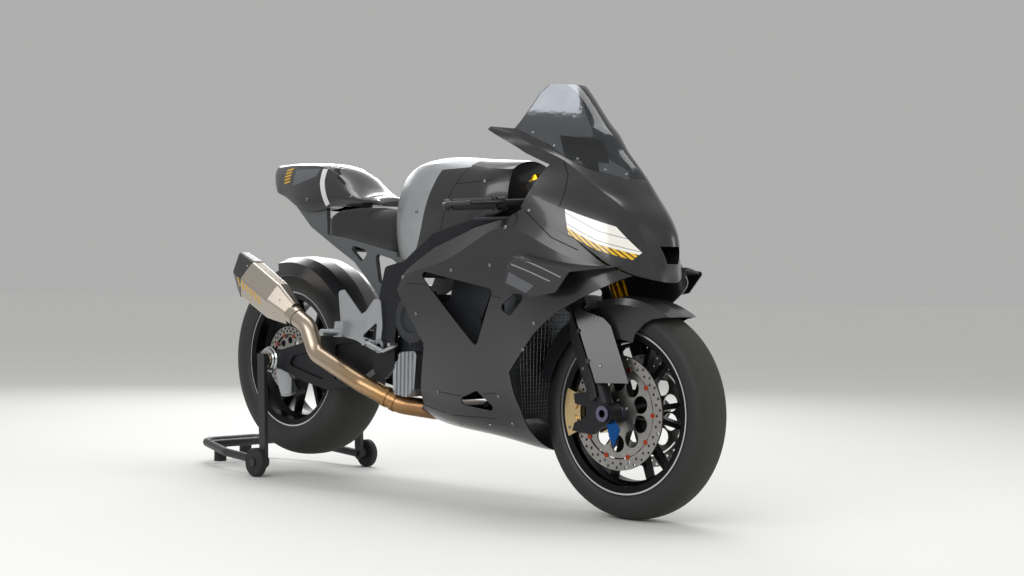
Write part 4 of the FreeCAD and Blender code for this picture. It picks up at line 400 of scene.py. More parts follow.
def lamp_finish():
    """White lens with a hatched lower edge that follows the lens's lower outline."""
    material, tree, place = new_material("lamp lens, white with hatched edge")
    parts = add(tree, "ShaderNodeSeparateXYZ", _0=place)
    u = add(tree, MATH, "SUBTRACT", _0=parts, _1=rear_reach)
    steep = add(tree, MATH, "MULTIPLY_ADD", _0=u, _1=-0.56, _2=1.5634)
    gentle = add(tree, MATH, "MULTIPLY_ADD", _0=u, _1=-0.333, _2=1.2328)
    edge = add(tree, MATH, "MAXIMUM", _0=steep, _1=gentle)
    above = add(tree, MATH, "SUBTRACT", _0=parts.outputs[2], _1=edge)
    band = add(tree, MATH, "LESS_THAN", _0=above, _1=hatch_height)
    slant = add(tree, MATH, "ADD", _0=parts, _1=parts.outputs[2])
    bar = add(tree, MATH, "PINGPONG", _0=slant, _1=bar_pitch / 2)
    black = add(tree, MATH, "LESS_THAN", _0=bar, _1=bar_black / 2)
    hatch = add(tree, MIX, COLOURS, _0=black, _6=linear("#e3b41c"), _7=linear("#1a1814"))
    rib = add(tree, MATH, "PINGPONG", _0=above, _1=rib_pitch / 2)
    line = add(tree, MATH, "LESS_THAN", _0=rib, _1=rib_width / 2)
    lens = add(tree, MIX, COLOURS, _0=line, _6=linear("#eceae2"), _7=linear("#8d9094"))
    base = add(tree, MIX, COLOURS, _0=band, _6=lens.outputs[2], _7=hatch.outputs[2])
    shaded(tree, Base_Color=base.outputs[2], Roughness=0.14, Coat_Weight=0.6, Coat_Roughness=0.03)
    return material


def screen_finish():
    """Smoked sheet, a little hazier where it was handled."""
    material, tree, place = new_material("polycarbonate screen, smoked")
    cloud = add(tree, NOISE, Vector=place, Scale=1 / (50 * MM), Detail=4.0)
    base = add(tree, MIX, COLOURS, _0=cloud, _6=linear("#56595d"), _7=linear("#64676b"))
    gloss = add(tree, RANGE, _0=cloud, _3=0.02, _4=0.06)
    shaded(tree, Base_Color=base.outputs[2], Roughness=gloss, Transmission_Weight=0.92, IOR=1.45)
    return material


finishes["lamp_white"] = lamp_finish()
finishes["screen_smoke"] = screen_finish()
slot_of = {part["node"]: part["material_slot"] for part in frame["record"]["subparts"]}
for name, node in nodes.items():
    node.data.materials.clear()
    node.data.materials.append(finishes[slot_of[name]])
print("finishes in all:", len(finishes))

# %% [markdown]
# ## Helpers that make and place pieces
# Every added piece is a mesh at its real place that rides on one of the bike's bodies. Flat trim,
# such as a shut line or a stripe, has to follow the panel under it. So a ray is shot from beside
# the bike at each of its points, given as mm ahead of the rear axle and above the floor, and the
# trim is laid where the ray strikes and then given a thickness.

# %% Pieces, rays and trim
lift_mm, depth_mm = 0.3, 0.4
side_words = {-1: "right", 1: "left"}


def shown(name, mesh, material, body="chassis"):
    """Shows a mesh as a piece with one finish that rides on a body."""
    made = bpy.data.objects.new(name, mesh)
    bpy.context.scene.collection.objects.link(made)
    mesh.materials.clear()
    mesh.materials.append(material)
    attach(made, body)
    return made


def from_bmesh(name, work, material, body="chassis", smooth=False):
    """A piece from a finished bmesh."""
    bmesh.ops.remove_doubles(work, verts=work.verts, dist=0.00001)
    bmesh.ops.recalc_face_normals(work, faces=work.faces)
    mesh = bpy.data.meshes.new(name)
    work.to_mesh(mesh)
    work.free()
    mesh.polygons.foreach_set("use_smooth", [smooth] * len(mesh.polygons))
    return shown(name, mesh, material, body)


def at(u, y, z):
    """A place from mm ahead of the rear axle, mm to the left and mm above the floor."""
    return Vector((rear_reach + u * MM, y * MM, z * MM))


def skin(*names):
    """The surface of some nodes, for rays to strike."""
    points, faces = [], []
    for name in names:
        mesh = nodes[name].data
        start = len(points)
        points.extend(v.co.copy() for v in mesh.vertices)
        faces.extend([start + i for i in p.vertices] for p in mesh.polygons)
    return BVHTree.FromPolygons(points, faces)


def struck(surface, u, z, way):
    """Where a ray from one side of the bike strikes a surface, and which way it faces there."""
    start = at(u, way * 600, z)
    place, facing = surface.ray_cast(start, Vector((0, -way, 0)))[:2]
    if place is None:
        return None
    return place, facing if facing.y * way > 0 else -facing


def slab(name, grid, outward, thickness, material, jump=1.0):
    """A closed slab over a grid of places that faces one way. Places may be missing, and a field
    that jumps in depth is left out."""
    work = bmesh.new()
    lines = [[work.verts.new(place) if place else None for place in row] for row in grid]
    for upper, lower in zip(lines, lines[1:]):
        for quad in zip(upper, upper[1:], lower[1:], lower):
            if None in quad:
                continue
            depths = [corner.co.dot(outward) for corner in quad]
            if max(depths) - min(depths) < jump:
                face = work.faces.new(quad)
                face.normal_update()
                if face.normal.dot(outward) < 0:
                    face.normal_flip()
    if not work.faces:
        work.free()
        return
    bmesh.ops.delete(work, geom=[v for v in work.verts if not v.link_faces], context="VERTS")
    bmesh.ops.solidify(work, geom=work.faces[:], thickness=thickness)
    from_bmesh(name, work, material)


def laid(name, surface, rows, way, material):
    """Trim over a grid of places in the side view, lifted a little and closed all round."""
    grid = []
    for row in rows:
        hits = [struck(surface, u, z, way) for u, z in row]
        grid.append([hit[0] + hit[1] * lift_mm * MM if hit else None for hit in hits])
    slab(name, grid, Vector((0, way, 0)), (lift_mm + depth_mm) * MM, material)


def divided(line, step):
    """The points of a line of straight runs, and more between them at about a step."""
    points = [line[0]]
    for (u0, z0), (u1, z1) in zip(line, line[1:]):
        count = max(1, round(math.hypot(u1 - u0, z1 - z0) / step))
        for i in range(1, count + 1):
            points.append((u0 + (u1 - u0) * i / count, z0 + (z1 - z0) * i / count))
    return points


def ribbon(line, width, step=12):
    """Three rows of places along a line of straight runs, half a width to each side."""
    points = divided(line, step)
    rows = []
    for share in (-0.5, 0, 0.5):
        row = []
        for i, (u, z) in enumerate(points):
            before, after = points[max(0, i - 1)], points[min(len(points) - 1, i + 1)]
            du, dz = after[0] - before[0], after[1] - before[1]
            size = math.hypot(du, dz)
            row.append((u - dz / size * width * share, z + du / size * width * share))
        rows.append(row)
    return rows


def quad_grid(corners, across=14, along=6):
    """A grid of places over a four-cornered area of the side view."""
    a, b, c, d = corners
    rows = []
    for i in range(along + 1):
        t = i / along
        row = []
        for j in range(across + 1):
            s = j / across
            u = (a[0] * (1 - s) + b[0] * s) * (1 - t) + (d[0] * (1 - s) + c[0] * s) * t
            z = (a[1] * (1 - s) + b[1] * s) * (1 - t) + (d[1] * (1 - s) + c[1] * s) * t
            row.append((u, z))
        rows.append(row)
    return rows


def lathed(name, centre, profile, material, body="chassis", steps=48, smooth=True):
    """A ring turned about Y from (side, reach) places in mm, closed where its ends meet."""
    work = bmesh.new()
    rings = []
    for i in range(steps):
        angle = 2 * math.pi * i / steps
        x, z = math.cos(angle) * MM, math.sin(angle) * MM
        rings.append([work.verts.new((centre.x + reach * x, side * MM, centre.z + reach * z))
                      for side, reach in profile])
    count = len(profile)
    for i in range(steps):
        here, after = rings[i], rings[(i + 1) % steps]
        for j in range(count):
            k = (j + 1) % count
            work.faces.new((here[j], here[k], after[k], after[j]))
    return from_bmesh(name, work, material, body, smooth)


bodywork = skin("upper_fairing", "side_fairing_right", "side_fairing_left", "belly_pan",
                "tail_cowl", "tank_cover", "fuel_tank")
print("bodywork to lay trim on is ready")

# %% [markdown]
# ## The tyres
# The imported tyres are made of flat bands. A slick is a smooth turned form, so each gets a skin.
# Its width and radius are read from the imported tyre's box. Its curve is chosen: a quarter ellipse
# for the sidewall, from the rim to 0.42 of the tyre's height, and a slightly fuller one over the
# crown. It is turned about the axle in 160 steps. Two faint raised rings on each sidewall stand
# for the mould's lines.

# %% Turned tyres
bead = 229.0
sidewall_share = 0.42
crown_power = 0.86
mould_line = 0.25


def smooth_tyre(name, node_name, axle, bead_side, material, body):
    """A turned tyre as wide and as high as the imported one."""
    low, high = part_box(node_name)
    top = (high[2] - low[2]) / 2 / MM
    half = (high[1] - low[1]) / 2 / MM
    shoulder = bead + (top - bead) * sidewall_share
    profile = []
    for i in range(9):
        turn = math.radians(90) * i / 8
        profile.append((bead_side + (half - bead_side) * math.sin(turn),
                        bead + (shoulder - bead) * (1 - math.cos(turn))))
    for i in range(1, 25):
        turn = math.radians(90) * i / 24
        side = half * math.cos(turn) ** crown_power
        profile.append((side, shoulder + (top - shoulder) * math.sin(turn) ** crown_power))
    for ring in (5, 7):
        side, reach = profile[ring]
        profile[ring] = (side + mould_line, reach)
    full = profile + [(-side, reach) for side, reach in reversed(profile[:-1])]
    inner = [(-bead_side + 3, bead - 4), (bead_side - 3, bead - 4)]
    skin_piece = lathed(name, axle, full + inner, material, body, steps=160)
    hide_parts(node_name)
    print(name, "half width", round(half, 1), "radius", round(top, 1))


smooth_tyre("front_slick", "front_tyre", front_axle, 50.5, front_rubber, "front_wheel")
smooth_tyre("rear_slick", "rear_tyre", rear_axle, 85.5, rear_rubber, "rear_wheel")

# %% [markdown]
# ## The seat pad
# A racing seat is a block of firm foam under a felted cover, glued down, so it is crowned rather
# than blown up like a cushion. It is built as rows of rounded cross-sections from back to front:
# the top is highest along the middle, the edges are round and the ends draw in. Two sewn channels
# cross it, and a row of stitches runs along each side of each.

# %% Crowned seat
seat_low = ((553, 747), (300, 796), (208, 807))
seat_top = ((206, 878), (240, 892), (310, 898), (380, 896), (445, 889), (500, 891), (553, 888))
seam_places, seam_width, seam_depth = (300, 420), 5.0, 3.5
seat_back, seat_front, seat_half, seat_rows = 207, 552, 98.5, 46


def height_on(line, u):
    """The height of a line of straight runs at a place along the bike."""
    ordered = sorted(line)
    for (u0, z0), (u1, z1) in zip(ordered, ordered[1:]):
        if u0 <= u <= u1:
            return z0 + (z1 - z0) * (u - u0) / (u1 - u0)
    return ordered[0][1] if u < ordered[0][0] else ordered[-1][1]


def seat_section(u):
    """One rounded cross-section of the pad, as points from the left foot over the top."""
    bottom, top = height_on(seat_low, u) + 1.5, height_on(seat_top, u) - 1.0
    ends = min(1.0, (min(u - seat_back, seat_front - u) + 4) / 26)
    fullness = 0.86 + 0.14 * max(0.0, ends) ** 0.5
    seam = sum(math.exp(-((u - place) / seam_width) ** 2) for place in seam_places)
    points = []
    steps = 36
    for i in range(steps + 1):
        turn = math.pi * i / steps
        side = math.copysign(abs(math.cos(turn)) ** 0.42, math.cos(turn))
        rise = math.sin(turn) ** 0.34
        belly = 1 - 0.035 * math.sin(math.pi * rise) * (1 - rise)
        crown = 1 - 0.05 * abs(side) ** 2
        up = bottom + (top - bottom) * rise * crown * (0.93 + 0.07 * fullness)
        points.append(at(u, seat_half * side * belly * fullness, up - seam * seam_depth * rise))
    return points


def seat_pad():
    """The closed pad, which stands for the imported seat."""
    work = bmesh.new()
    rows = []
    for i in range(seat_rows + 1):
        u = seat_back + (seat_front - seat_back) * i / seat_rows
        rows.append([work.verts.new(p) for p in seat_section(u)])
    for back, front in zip(rows, rows[1:]):
        for i in range(len(back) - 1):
            work.faces.new((back[i], back[i + 1], front[i + 1], front[i]))
        work.faces.new((back[-1], back[0], front[0], front[-1]))
    work.faces.new(rows[0])
    work.faces.new(list(reversed(rows[-1])))
    pad = from_bmesh("seat_pad", work, finishes["seat_black"], smooth=True)
    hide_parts("seat")
    return pad


seat_piece = seat_pad()
print("seat faces:", len(seat_piece.data.polygons))

# %% [markdown]
# ## Geometry Nodes for what repeats
# Fasteners, rivets, bobbins and stitches are the same small form again and again. One tree puts a
# head on every point of a mesh: each point carries the way it faces and its size as attributes.
# The tree ends in Realize Instances and Set Material, because an export drops instances, and the
# evaluated result is kept as a plain mesh.

# %% A tree that sets heads on points


def new_tree(name, **inputs):
    """A Geometry Nodes tree with named inputs, and their sockets inside it."""
    tree = bpy.data.node_groups.new(name, "GeometryNodeTree")
    for label, kind in inputs.items():
        tree.interface.new_socket(label, in_out="INPUT", socket_type="NodeSocket" + kind)
    tree.interface.new_socket("Result", in_out="OUTPUT", socket_type="NodeSocketGeometry")
    return tree, tree.nodes.new("NodeGroupInput").outputs


scatter, given = new_tree("heads on points", Points="Geometry", Head="Object", Finish="Material")
attribute = "GeometryNodeInputNamedAttribute"
facing = add(scatter, attribute, {"data_type": "FLOAT_VECTOR"}, Name="facing")
size = add(scatter, attribute, {"data_type": "FLOAT"}, Name="size")
turned_to = add(scatter, "FunctionNodeAlignRotationToVector", {"axis": "Z"}, Vector=facing)
head = add(scatter, "GeometryNodeObjectInfo", Object=given["Head"])
heads = add(scatter, "GeometryNodeInstanceOnPoints", Points=given["Points"],
            Instance=head.outputs["Geometry"], Rotation=turned_to, Scale=size)
real = add(scatter, "GeometryNodeRealizeInstances", Geometry=heads)
coated = add(scatter, "GeometryNodeSetMaterial", Geometry=real, Material=given["Finish"])
add(scatter, "NodeGroupOutput", _0=coated)


def baked(mesh, tree, **inputs):
    """Runs a tree on a mesh and returns the result as a plain mesh."""
    source = bpy.data.objects.new(mesh.name + "_source", mesh)
    bpy.context.scene.collection.objects.link(source)
    modifier = source.modifiers.new("tree", "NODES")
    modifier.node_group = tree
    for label, value in inputs.items():
        for item in tree.interface.items_tree:
            if item.in_out == "INPUT" and item.name == label.replace("_", " "):
                modifier[item.identifier] = value
    bpy.context.view_layer.update()
    graph = bpy.context.evaluated_depsgraph_get()
    result = bpy.data.meshes.new_from_object(source.evaluated_get(graph), depsgraph=graph)
    source.modifiers.clear()
    bpy.data.objects.remove(source)
    return result


def head_form(name, profile, sides):
    """A head turned about Z from (reach, height) places of a unit radius, from the rim inwards."""
    mesh = bpy.data.meshes.new(name)
    points, faces = [], []
    for reach, height in profile:
        for i in range(sides):
            angle = 2 * math.pi * i / sides
            points.append((reach * math.cos(angle), reach * math.sin(angle), height))
    for row in range(len(profile) - 1):
        for i in range(sides):
            j = (i + 1) % sides
            low, high = row * sides, (row + 1) * sides
            faces.append((low + i, low + j, high + j, high + i))
    faces.append(tuple(range((len(profile) - 1) * sides, len(profile) * sides)))
    faces.append(tuple(reversed(range(sides))))
    mesh.from_pydata(points, [], faces)
    return bpy.data.objects.new(name, mesh)


button = head_form("button head", ((1, -0.4), (1, 0.15), (0.86, 0.5), (0.5, 0.62), (0.45, 0.2)), 12)
dome = head_form("dome rivet", ((1, -0.3), (1, 0.05), (0.8, 0.35), (0.4, 0.5)), 10)
washer = head_form("washer", ((1, -0.2), (1, 0.06), (0.82, 0.1), (0.5, 0.1), (0.45, 0.0)), 16)
ring_nut = head_form("flanged nut", ((1, -0.4), (1, 0.2), (0.72, 0.35), (0.72, 1.0), (0.45, 1.0),
                                     (0.42, 0.2)), 12)


def dropped(surface, line, way, radius):
    """Heads where rays from one side strike a surface, for places in the side view."""
    hits = [struck(surface, u, z, way) for u, z in line]
    return [(*hit, radius) for hit in hits if hit]


def fastened(name, places, material, body="chassis", form=button):
    """A set of heads at (place, facing, radius in mm), baked to one plain piece."""
    mesh = bpy.data.meshes.new(name)
    mesh.from_pydata([tuple(place) for place, _, _ in places], [], [])
    mesh.attributes.new("facing", "FLOAT_VECTOR", "POINT")
    mesh.attributes.new("size", "FLOAT", "POINT")
    for i, (_, way, radius) in enumerate(places):
        mesh.attributes["facing"].data[i].vector = way
        mesh.attributes["size"].data[i].value = radius * MM
    print(name, len(places), "heads")
    shown(name, baked(mesh, scatter, Head=form, Finish=material), material, body)


# %% [markdown]
# ## Fasteners on the bodywork
# Panels of this kind are held by flat aluminium quick-release screws near their edges. The
# photograph is too dark to count them, so their number and places are typical ones. They are given
# in the side view and dropped on the panels by a ray, on both sides of the bike.

# %% Panel screws
# Machined aluminium, satin: the small bright dots that show how the panels part.
screw_metal = finish("aluminium screws, machined", "#8f9296", 0.3, 1.0, cloud_mm=6)
panel_screws = ((1252, 858), (1330, 700), (1180, 812), (740, 668), (800, 560), (870, 330),
                (1120, 330), (1205, 392), (1240, 470), (1290, 545), (960, 690), (1120, 705),
                (905, 232), (1040, 240), (1130, 250), (330, 930), (120, 925), (700, 870), (980, 955))
fastened("panel_screws", dropped(bodywork, panel_screws, -1, 5.5)
         + dropped(bodywork, panel_screws, 1, 5.5), screw_metal)

# %% [markdown]
# ## Brake bobbins, disc and wheel bolts
# A floating disc is tied to its carrier by round bobbins. Their caps are anodised copper red. Each
# disc gets ten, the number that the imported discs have, on the same circle and facing outwards, and
# low enough to pass the calipers. Carrier bolts and the sprocket's nuts sit on smaller circles.

# %% Bobbins and carrier bolts
# Aluminium anodised copper red: a thin coloured film over a metal gleam.
copper_red = finish("aluminium, anodised copper red", "#a8432a", 0.28, 1.0, cloud_mm=8)


def circle(axle, count, reach, side, way, radius, start=0.0):
    """Heads on a circle about an axle, all facing one side."""
    result = []
    for i in range(count):
        angle = 2 * math.pi * (i + start) / count
        place = Vector((axle.x + reach * MM * math.cos(angle), side * MM,
                        axle.z + reach * MM * math.sin(angle)))
        result.append((place, Vector((0, way, 0)), radius))
    return result


bobbins, carrier_bolts, sprocket_nuts = 10, 5, 6
front_bobbins, front_bolts = [], []
for way in (-1, 1):
    front_bobbins += circle(front_axle, bobbins, 126.3, way * 69.2, way, 7.2)
    front_bolts += circle(front_axle, carrier_bolts, 34, way * 67.3, way, 4.5, 0.3)
fastened("front_bobbins", front_bobbins, copper_red, "front_wheel", washer)
fastened("front_carrier_bolts", front_bolts, finishes["steel"], "front_wheel")
fastened("rear_bobbins", circle(rear_axle, bobbins, 81.3, -95.2, -1, 6.5), copper_red, "rear_wheel",
         washer)
fastened("rear_sprocket_nuts", circle(rear_axle, sprocket_nuts, 46, 117.4, 1, 6.0, 0.5),
         finishes["steel"], "rear_wheel", ring_nut)

# %% [markdown]
# ## Fasteners on the covers, clamps and calipers
# The clutch cover has a ring of screws, each on its own boss, and the other covers have typical
# ones. The screen's edge, the fork's legs and guards, the fender and the calipers get a few at
# typical places. All are the same button head.

# %% Cover and clamp screws
clutch_screws, clutch_circle = 8, 82
cover_screws = []
for i in range(clutch_screws):
    angle = 2 * math.pi * (i + 0.44) / clutch_screws
    cover_screws.append((at(755 + clutch_circle * math.cos(angle), -181.5,
                            545 + clutch_circle * math.sin(angle)), Vector((0, -1, 0)), 5))
engine_skin = skin("generator_cover", "sump_casting", "sprocket_cover", "clutch_cover")
generator_ring = [(860 + 54 * math.cos(a), 430 + 54 * math.sin(a))
                  for a in (2 * math.pi * i / 6 for i in range(6))]
for way, line in ((1, generator_ring),
                  (1, [(640, 410), (732, 410), (640, 535), (732, 535)]),
                  (-1, [(668, 318), (744, 318), (668, 432), (744, 432)])):
    cover_screws += dropped(engine_skin, line, way, 4.5)
fastened("cover_screws", cover_screws, finishes["steel"])

screen_skin, steering_skin = skin("windscreen"), skin("front_calipers", "fork_guards", "fork_legs",
                                                      "front_fender", "triple_clamps")
screen_screws, fork_screws = [], []
for way in (-1, 1):
    for u in (1200, 1270, 1340, 1410, 1455):
        hits = [hit for hit in (struck(screen_skin, u, z, way) for z in range(940, 1140, 4)) if hit]
        if len(hits) > 3:
            screen_screws.append((hits[2][0], hits[2][1], 4.0))
    fork_screws += dropped(steering_skin, ((1300, 250), (1330, 335), (1410, 560), (1378, 420),
                                           (1440, 430), (1300, 560)), way, 4.5)
fastened("screen_screws", screen_screws, screw_metal)
fastened("fork_screws", fork_screws, screw_metal, "steering")

# %% [markdown]
# ## Shut lines, painted highlights and plates on the bodywork
# The fairing is laid up in parts, and where they meet a thin dark line shows. On each wing's outer
# face run two bright strips, painted highlights of its lit upper edges, with a grey field below
# them. Along the tail's top edge runs a bright strip, also a painted highlight, and the tail has a
# white flash, a grey field and yellow bars. The photograph shows the right side only, and the left
# is its mirror.

# %% Trim on both sides
# The gap between two panels: it only swallows light. On the tail's slots the same black is
# painted shade, laid on the surface for each slot's shadowed inside.
gap_and_slot_shade = finish("shut line, matt black", "#050505", 0.9, cloud_mm=30)
# Polished metal strips as painted highlights: they stand for the lit edges of the wings and the
# tail, which catch the lamps as thin bright lines.
painted_highlight_strip = finish("aluminium strip, polished", "#b9bcc0", 0.22, 1.0, cloud_mm=40)
# The grey fields of the shoulder and tail: warm grey lacquer, satin.
grey_lacquer = finish("grey lacquer, satin", "#54565a", 0.35, cloud_mm=60)
# The white flash of the tail.
white_lacquer = finish("white lacquer, satin", "#c9cac9", 0.35, cloud_mm=60)
# The yellow of the bars on the tail and the muffler.
yellow_lacquer = finish("yellow lacquer, satin", "#c99a12", 0.4, cloud_mm=30)


def trim(name, lines, width, material, surface, ways=(-1, 1), step=12):
    """Ribbons along lines of the side view, laid on a surface from each side."""
    for way in ways:
        for i, line in enumerate(lines):
            laid(f"{name}_{i}_{side_words[way]}", surface, ribbon(line, width, step), way, material)


def plate(name, corners, material, surface):
    """A four-cornered field of the side view, laid on a surface from each side."""
    for way, word in side_words.items():
        laid(f"{name}_0_{word}", surface, quad_grid(corners), way, material)


side_skin = skin("side_fairing_right", "side_fairing_left", "upper_fairing", "winglets")
tail_skin = skin("tail_cowl")
tank_skin = skin("tank_cover", "fuel_tank")
trim("nose_seam", [[(1316, 1000), (1340, 958), (1347, 905), (1345, 868)],
                   [(1197, 882), (1276, 827), (1337, 782), (1420, 747)]], 2.6, gap_and_slot_shade, side_skin)
trim("side_crease", [[(757, 650), (955, 645), (1162, 612)], [(880, 330), (980, 322), (1110, 340)]],
     2.2, gap_and_slot_shade, side_skin)
# The wing's two bright strips are painted highlights, laid where its lit edges shine.
trim("shoulder_strip", [[(1270, 728), (1366, 698), (1440, 672)],
                        [(1228, 714), (1321, 687), (1400, 661)]], 3.4, painted_highlight_strip, side_skin)
plate("shoulder_plate", [(1190, 706), (1340, 648), (1305, 624), (1188, 664)], grey_lacquer,
      side_skin)
trim("tank_seam", [[(905, 1010), (868, 950), (830, 880), (800, 800)]], 2.4, gap_and_slot_shade, tank_skin)
trim("tank_edge", [[(1010, 958), (870, 950)]], 2.4, gap_and_slot_shade, tank_skin)
# The tail's two slots are black strips on the surface: painted shade for their dark inside.
trim("tail_slot", [[(206, 1026), (240, 1003)], [(240, 998), (282, 972)]], 7, gap_and_slot_shade, tail_skin)
# The bright strip along the tail's top edge is a painted highlight of its lit edge.
trim("tail_edge", [[(175, 1036), (270, 1020), (340, 976), (440, 914)]], 3, painted_highlight_strip, tail_skin)
trim("tail_flash", [[(173, 1036), (188, 980), (221, 904)]], 20, white_lacquer, tail_skin)
plate("tail_field", [(22, 1028), (154, 1028), (150, 1001), (28, 972)], grey_lacquer, tail_skin)
trim("tail_hatch", [[(-44 + 2 * i, 1029 - 11 * i), (-6 + 2 * i, 1034 - 11 * i)] for i in range(5)],
     6, yellow_lacquer, tail_skin, step=6)
trim("belly_seam", [[(760, 286), (900, 262), (1080, 262)]], 2.2, gap_and_slot_shade, bodywork)

# %% [markdown]
# ## Marks and rivets on the muffler
# A row of yellow bars slants along the muffler's outer face, and dome rivets hold its sheets. The
# photograph has marks there; these bars are plain.

# %% Muffler trim
muffler_skin = skin("muffler", "muffler_cap")
bars, bar_count = [], 6
for i in range(bar_count):
    share = i / (bar_count - 1)
    bars.append([(-44 + 104 * share, 662 - 58 * share), (-46 + 104 * share, 632 - 58 * share)])
trim("muffler_bars", bars, 10, yellow_lacquer, muffler_skin, ways=(-1,), step=6)
rivets = ((-18, 700), (-40, 640), (-2, 620), (24, 655), (150, 590), (176, 545), (120, 548),
          (200, 566))
fastened("muffler_rivets", dropped(muffler_skin, rivets, -1, 3.2), finishes["steel"], form=dome)

# %% [markdown]
# ## The guard in front of the radiator
# A stone guard is a net of thin wire stretched in front of the slats. The script only says where
# each wire starts and ends. The tree turns those edges into curves, gives them a small square
# section and closes their ends.

# %% Wire guard
wires, given = new_tree("wires along edges", Edges="Geometry", Wire="Float", Finish="Material")
runs = add(wires, "GeometryNodeMeshToCurve", Mesh=given["Edges"])
section = add(wires, "GeometryNodeCurvePrimitiveCircle", Resolution=4, Radius=given["Wire"])
tubes = add(wires, "GeometryNodeCurveToMesh", Curve=runs, Profile_Curve=section, Fill_Caps=True)
real = add(wires, "GeometryNodeRealizeInstances", Geometry=tubes)
coated = add(wires, "GeometryNodeSetMaterial", Geometry=real, Material=given["Finish"])
add(wires, "NodeGroupOutput", _0=coated)


def wired(name, runs, wire_mm, material):
    """Wires with a square section along straight runs, as one plain piece."""
    mesh = bpy.data.meshes.new(name)
    ends = [tuple(place) for run in runs for place in run]
    mesh.from_pydata(ends, [(i, i + 1) for i in range(0, len(ends), 2)], [])
    print(name, len(runs), "wires")
    shown(name, baked(mesh, wires, Wire=wire_mm * MM, Finish=material), material)


guard_foot, guard_top, half_foot, half_top = (1128, 270), (1166, 612), 108, 176
level_wires, upright_wires = 34, 21
net = []
for i in range(level_wires):
    share = i / (level_wires - 1)
    u = guard_foot[0] + (guard_top[0] - guard_foot[0]) * share
    z = guard_foot[1] + (guard_top[1] - guard_foot[1]) * share
    half = half_foot + (half_top - half_foot) * share
    net.append((at(u, -half, z), at(u, half, z)))
for i in range(upright_wires):
    share = i / (upright_wires - 1) * 2 - 1
    net.append((at(guard_foot[0] + 1, half_foot * share, guard_foot[1]),
                at(guard_top[0] + 1, half_top * share, guard_top[1])))
wired("radiator_guard", net, 0.9, finishes["steel"])

# %% [markdown]
# ## Seams of the seat
# Two seams cross the pad, and the cover's thread shows as short dots on each side of them.

# %% Stitches
thread = finish("polyester thread, matt grey", "#3c3c40", 0.9, cloud_mm=10)
pad_surface = BVHTree.FromObject(seat_piece, bpy.context.evaluated_depsgraph_get())
stitch_offset, stitch_pitch, stitches_out = 7, 5, 16
stitches = []
for seam in seam_places:
    for offset in (-stitch_offset, stitch_offset):
        for i in range(-stitches_out, stitches_out + 1):
            start = at(seam + offset, i * stitch_pitch, 1000)
            place, facing = pad_surface.ray_cast(start, Vector((0, 0, -1)))[:2]
            if place is not None:
                stitches.append((place, facing if facing.z > 0 else -facing, 1.1))
fastened("seat_stitches", stitches, thread, form=dome)

# %% [markdown]
# ## The display
# The rider looks at a dark glass face. The bike is off, so it shows nothing.

# %% Display glass
panel_surface = skin("instrument_panel")
# Coated cover glass over a switched-off display: nearly black, with a sharp mirror.
glass_black = finish("cover glass, display off", "#060708", 0.08, cloud_mm=30)
face_grid = []
for k in range(5):
    row = []
    for i in range(9):
        place = panel_surface.ray_cast(at(900, -56 + 14 * i, 968 + 18 * k), Vector((1, 0, 0)))[0]
        row.append(place + Vector((-0.0006, 0, 0)) if place else None)
    face_grid.append(row)
slab("display_glass", face_grid, Vector((-1, 0, 0)), 0.0012, glass_black, jump=0.03)

# %% [markdown]
# ## Axle nuts and a blue bracket
# The hollow rear axle is held by a large flanged nut on each end, machined from silver aluminium.
# The photograph shows a small blue part at the foot of the right fork leg. It is taken for an
# anodised bracket, such as carries a speed sensor.

# %% Axle rings and bracket
# Machined aluminium, bright: the silver eye in the middle of the rear wheel.
turned_metal = finish("aluminium, turned bright", "#c2c4c6", 0.2, 1.0, cloud_mm=12)
for way, word in side_words.items():
    outer = [(way * 166, 29.5), (way * 166, 43), (way * 176, 43), (way * 180, 39), (way * 186, 38),
             (way * 189, 35), (way * 189, 29.5)]
    lathed("axle_nut_" + word, rear_axle, outer, turned_metal, smooth=False)
# Anodised aluminium, blue.
blue_anodised = finish("aluminium, anodised blue", "#1d4f8f", 0.3, 1.0, cloud_mm=8)
bracket = [(1450, 292), (1474, 292), (1502, 258), (1482, 209), (1464, 236)]
points = [at(u, side, z) for side in (-111, -107) for u, z in bracket]
count = len(bracket)
faces = [tuple(range(count)), tuple(reversed(range(count, 2 * count)))]
faces += [((i + 1) % count, i, count + i, count + (i + 1) % count) for i in range(count)]
mesh = bpy.data.meshes.new("sensor_bracket")
mesh.from_pydata([tuple(p) for p in points], [], faces)
shown("sensor_bracket", mesh, blue_anodised, "steering")

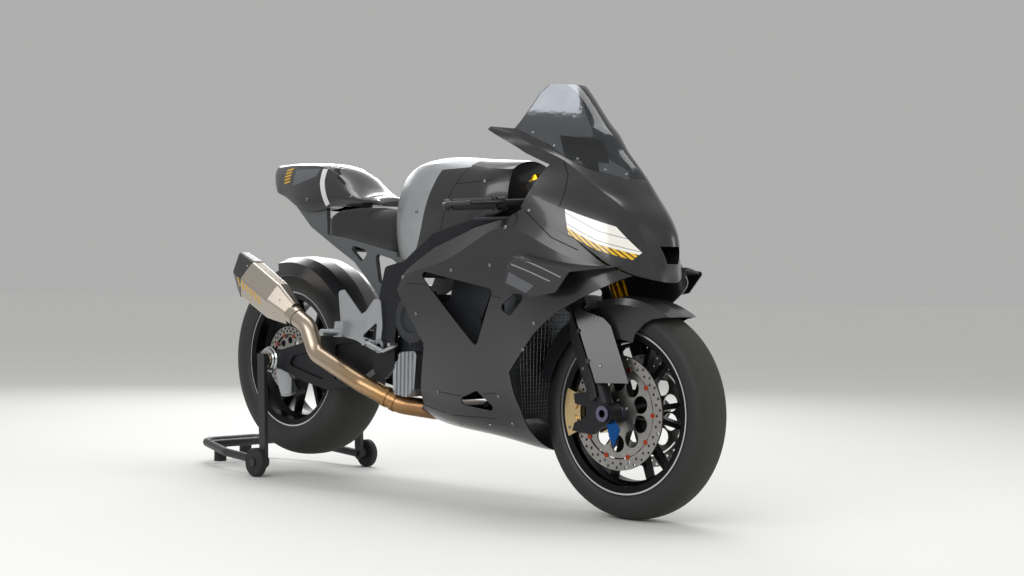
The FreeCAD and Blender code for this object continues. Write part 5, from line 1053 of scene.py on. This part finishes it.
# %% [markdown]
# ## The studio
# A wide pale floor under a pale sky, and large soft lamps, as for a product picture. There is no
# wall, so the bike can be looked at from every side. A Light Path node gives the camera a sky as
# dark as the far floor, which hides the horizon, and a brighter one to the rays that light the
# bike. Black lacquer mirrors much and shows little colour, so the lamps are wide and few.

# %% Floor and lamps
floor_reach = 60.0
sky_seen = 0.471
sky_light = 0.62


def studio_floor():
    """A round floor around the bike."""
    steps = 64
    angles = [2 * math.pi * i / steps for i in range(steps)]
    points = [(floor_reach * math.cos(angle), floor_reach * math.sin(angle), 0) for angle in angles]
    mesh = bpy.data.meshes.new("floor")
    mesh.from_pydata(points, [], [tuple(range(steps))])
    floor = bpy.data.objects.new("floor", mesh)
    bpy.context.scene.collection.objects.link(floor)
    floor.data.materials.append(finish("studio floor, matt paper", "#e2e2e0", 0.85, cloud_mm=900,
                                       shift=0.01))


def soft_lamp(name, place, target, size, power):
    """A large rectangular lamp that faces a point."""
    data = bpy.data.lights.new(name, "AREA")
    data.shape = "RECTANGLE"
    data.size, data.size_y = size
    data.energy = power
    lamp = bpy.data.objects.new(name, data)
    lamp.location = place
    lamp.rotation_mode = "QUATERNION"
    lamp.rotation_quaternion = (Vector(target) - Vector(place)).to_track_quat("-Z", "Y")
    bpy.context.scene.collection.objects.link(lamp)


studio_floor()
soft_lamp("side", (1.2, -4.2, 2.6), (0, 0, 0.6), (4.5, 1.6), 95)
soft_lamp("top", (-0.2, 0.6, 4.0), (0, 0, 0.5), (4.0, 1.6), 75)
soft_lamp("front", (4.6, 1.6, 1.6), (0.5, 0, 0.7), (1.6, 2.2), 45)
soft_lamp("rim", (-3.2, 2.4, 2.4), (-0.3, 0, 0.7), (2.5, 1.6), 60)
world = bpy.data.worlds.new("studio")
world.use_nodes = True
sky = world.node_tree
path = add(sky, "ShaderNodeLightPath")
strength = add(sky, RANGE, _0=path.outputs["Is Camera Ray"], _3=sky_light, _4=sky_seen)
sky.links.new(strength.outputs[0], sky.nodes["Background"].inputs["Strength"])
sky.nodes["Background"].inputs["Color"].default_value = linear("#f4f4f3")
bpy.context.scene.world = world
bpy.context.scene.view_settings.view_transform = "Standard"
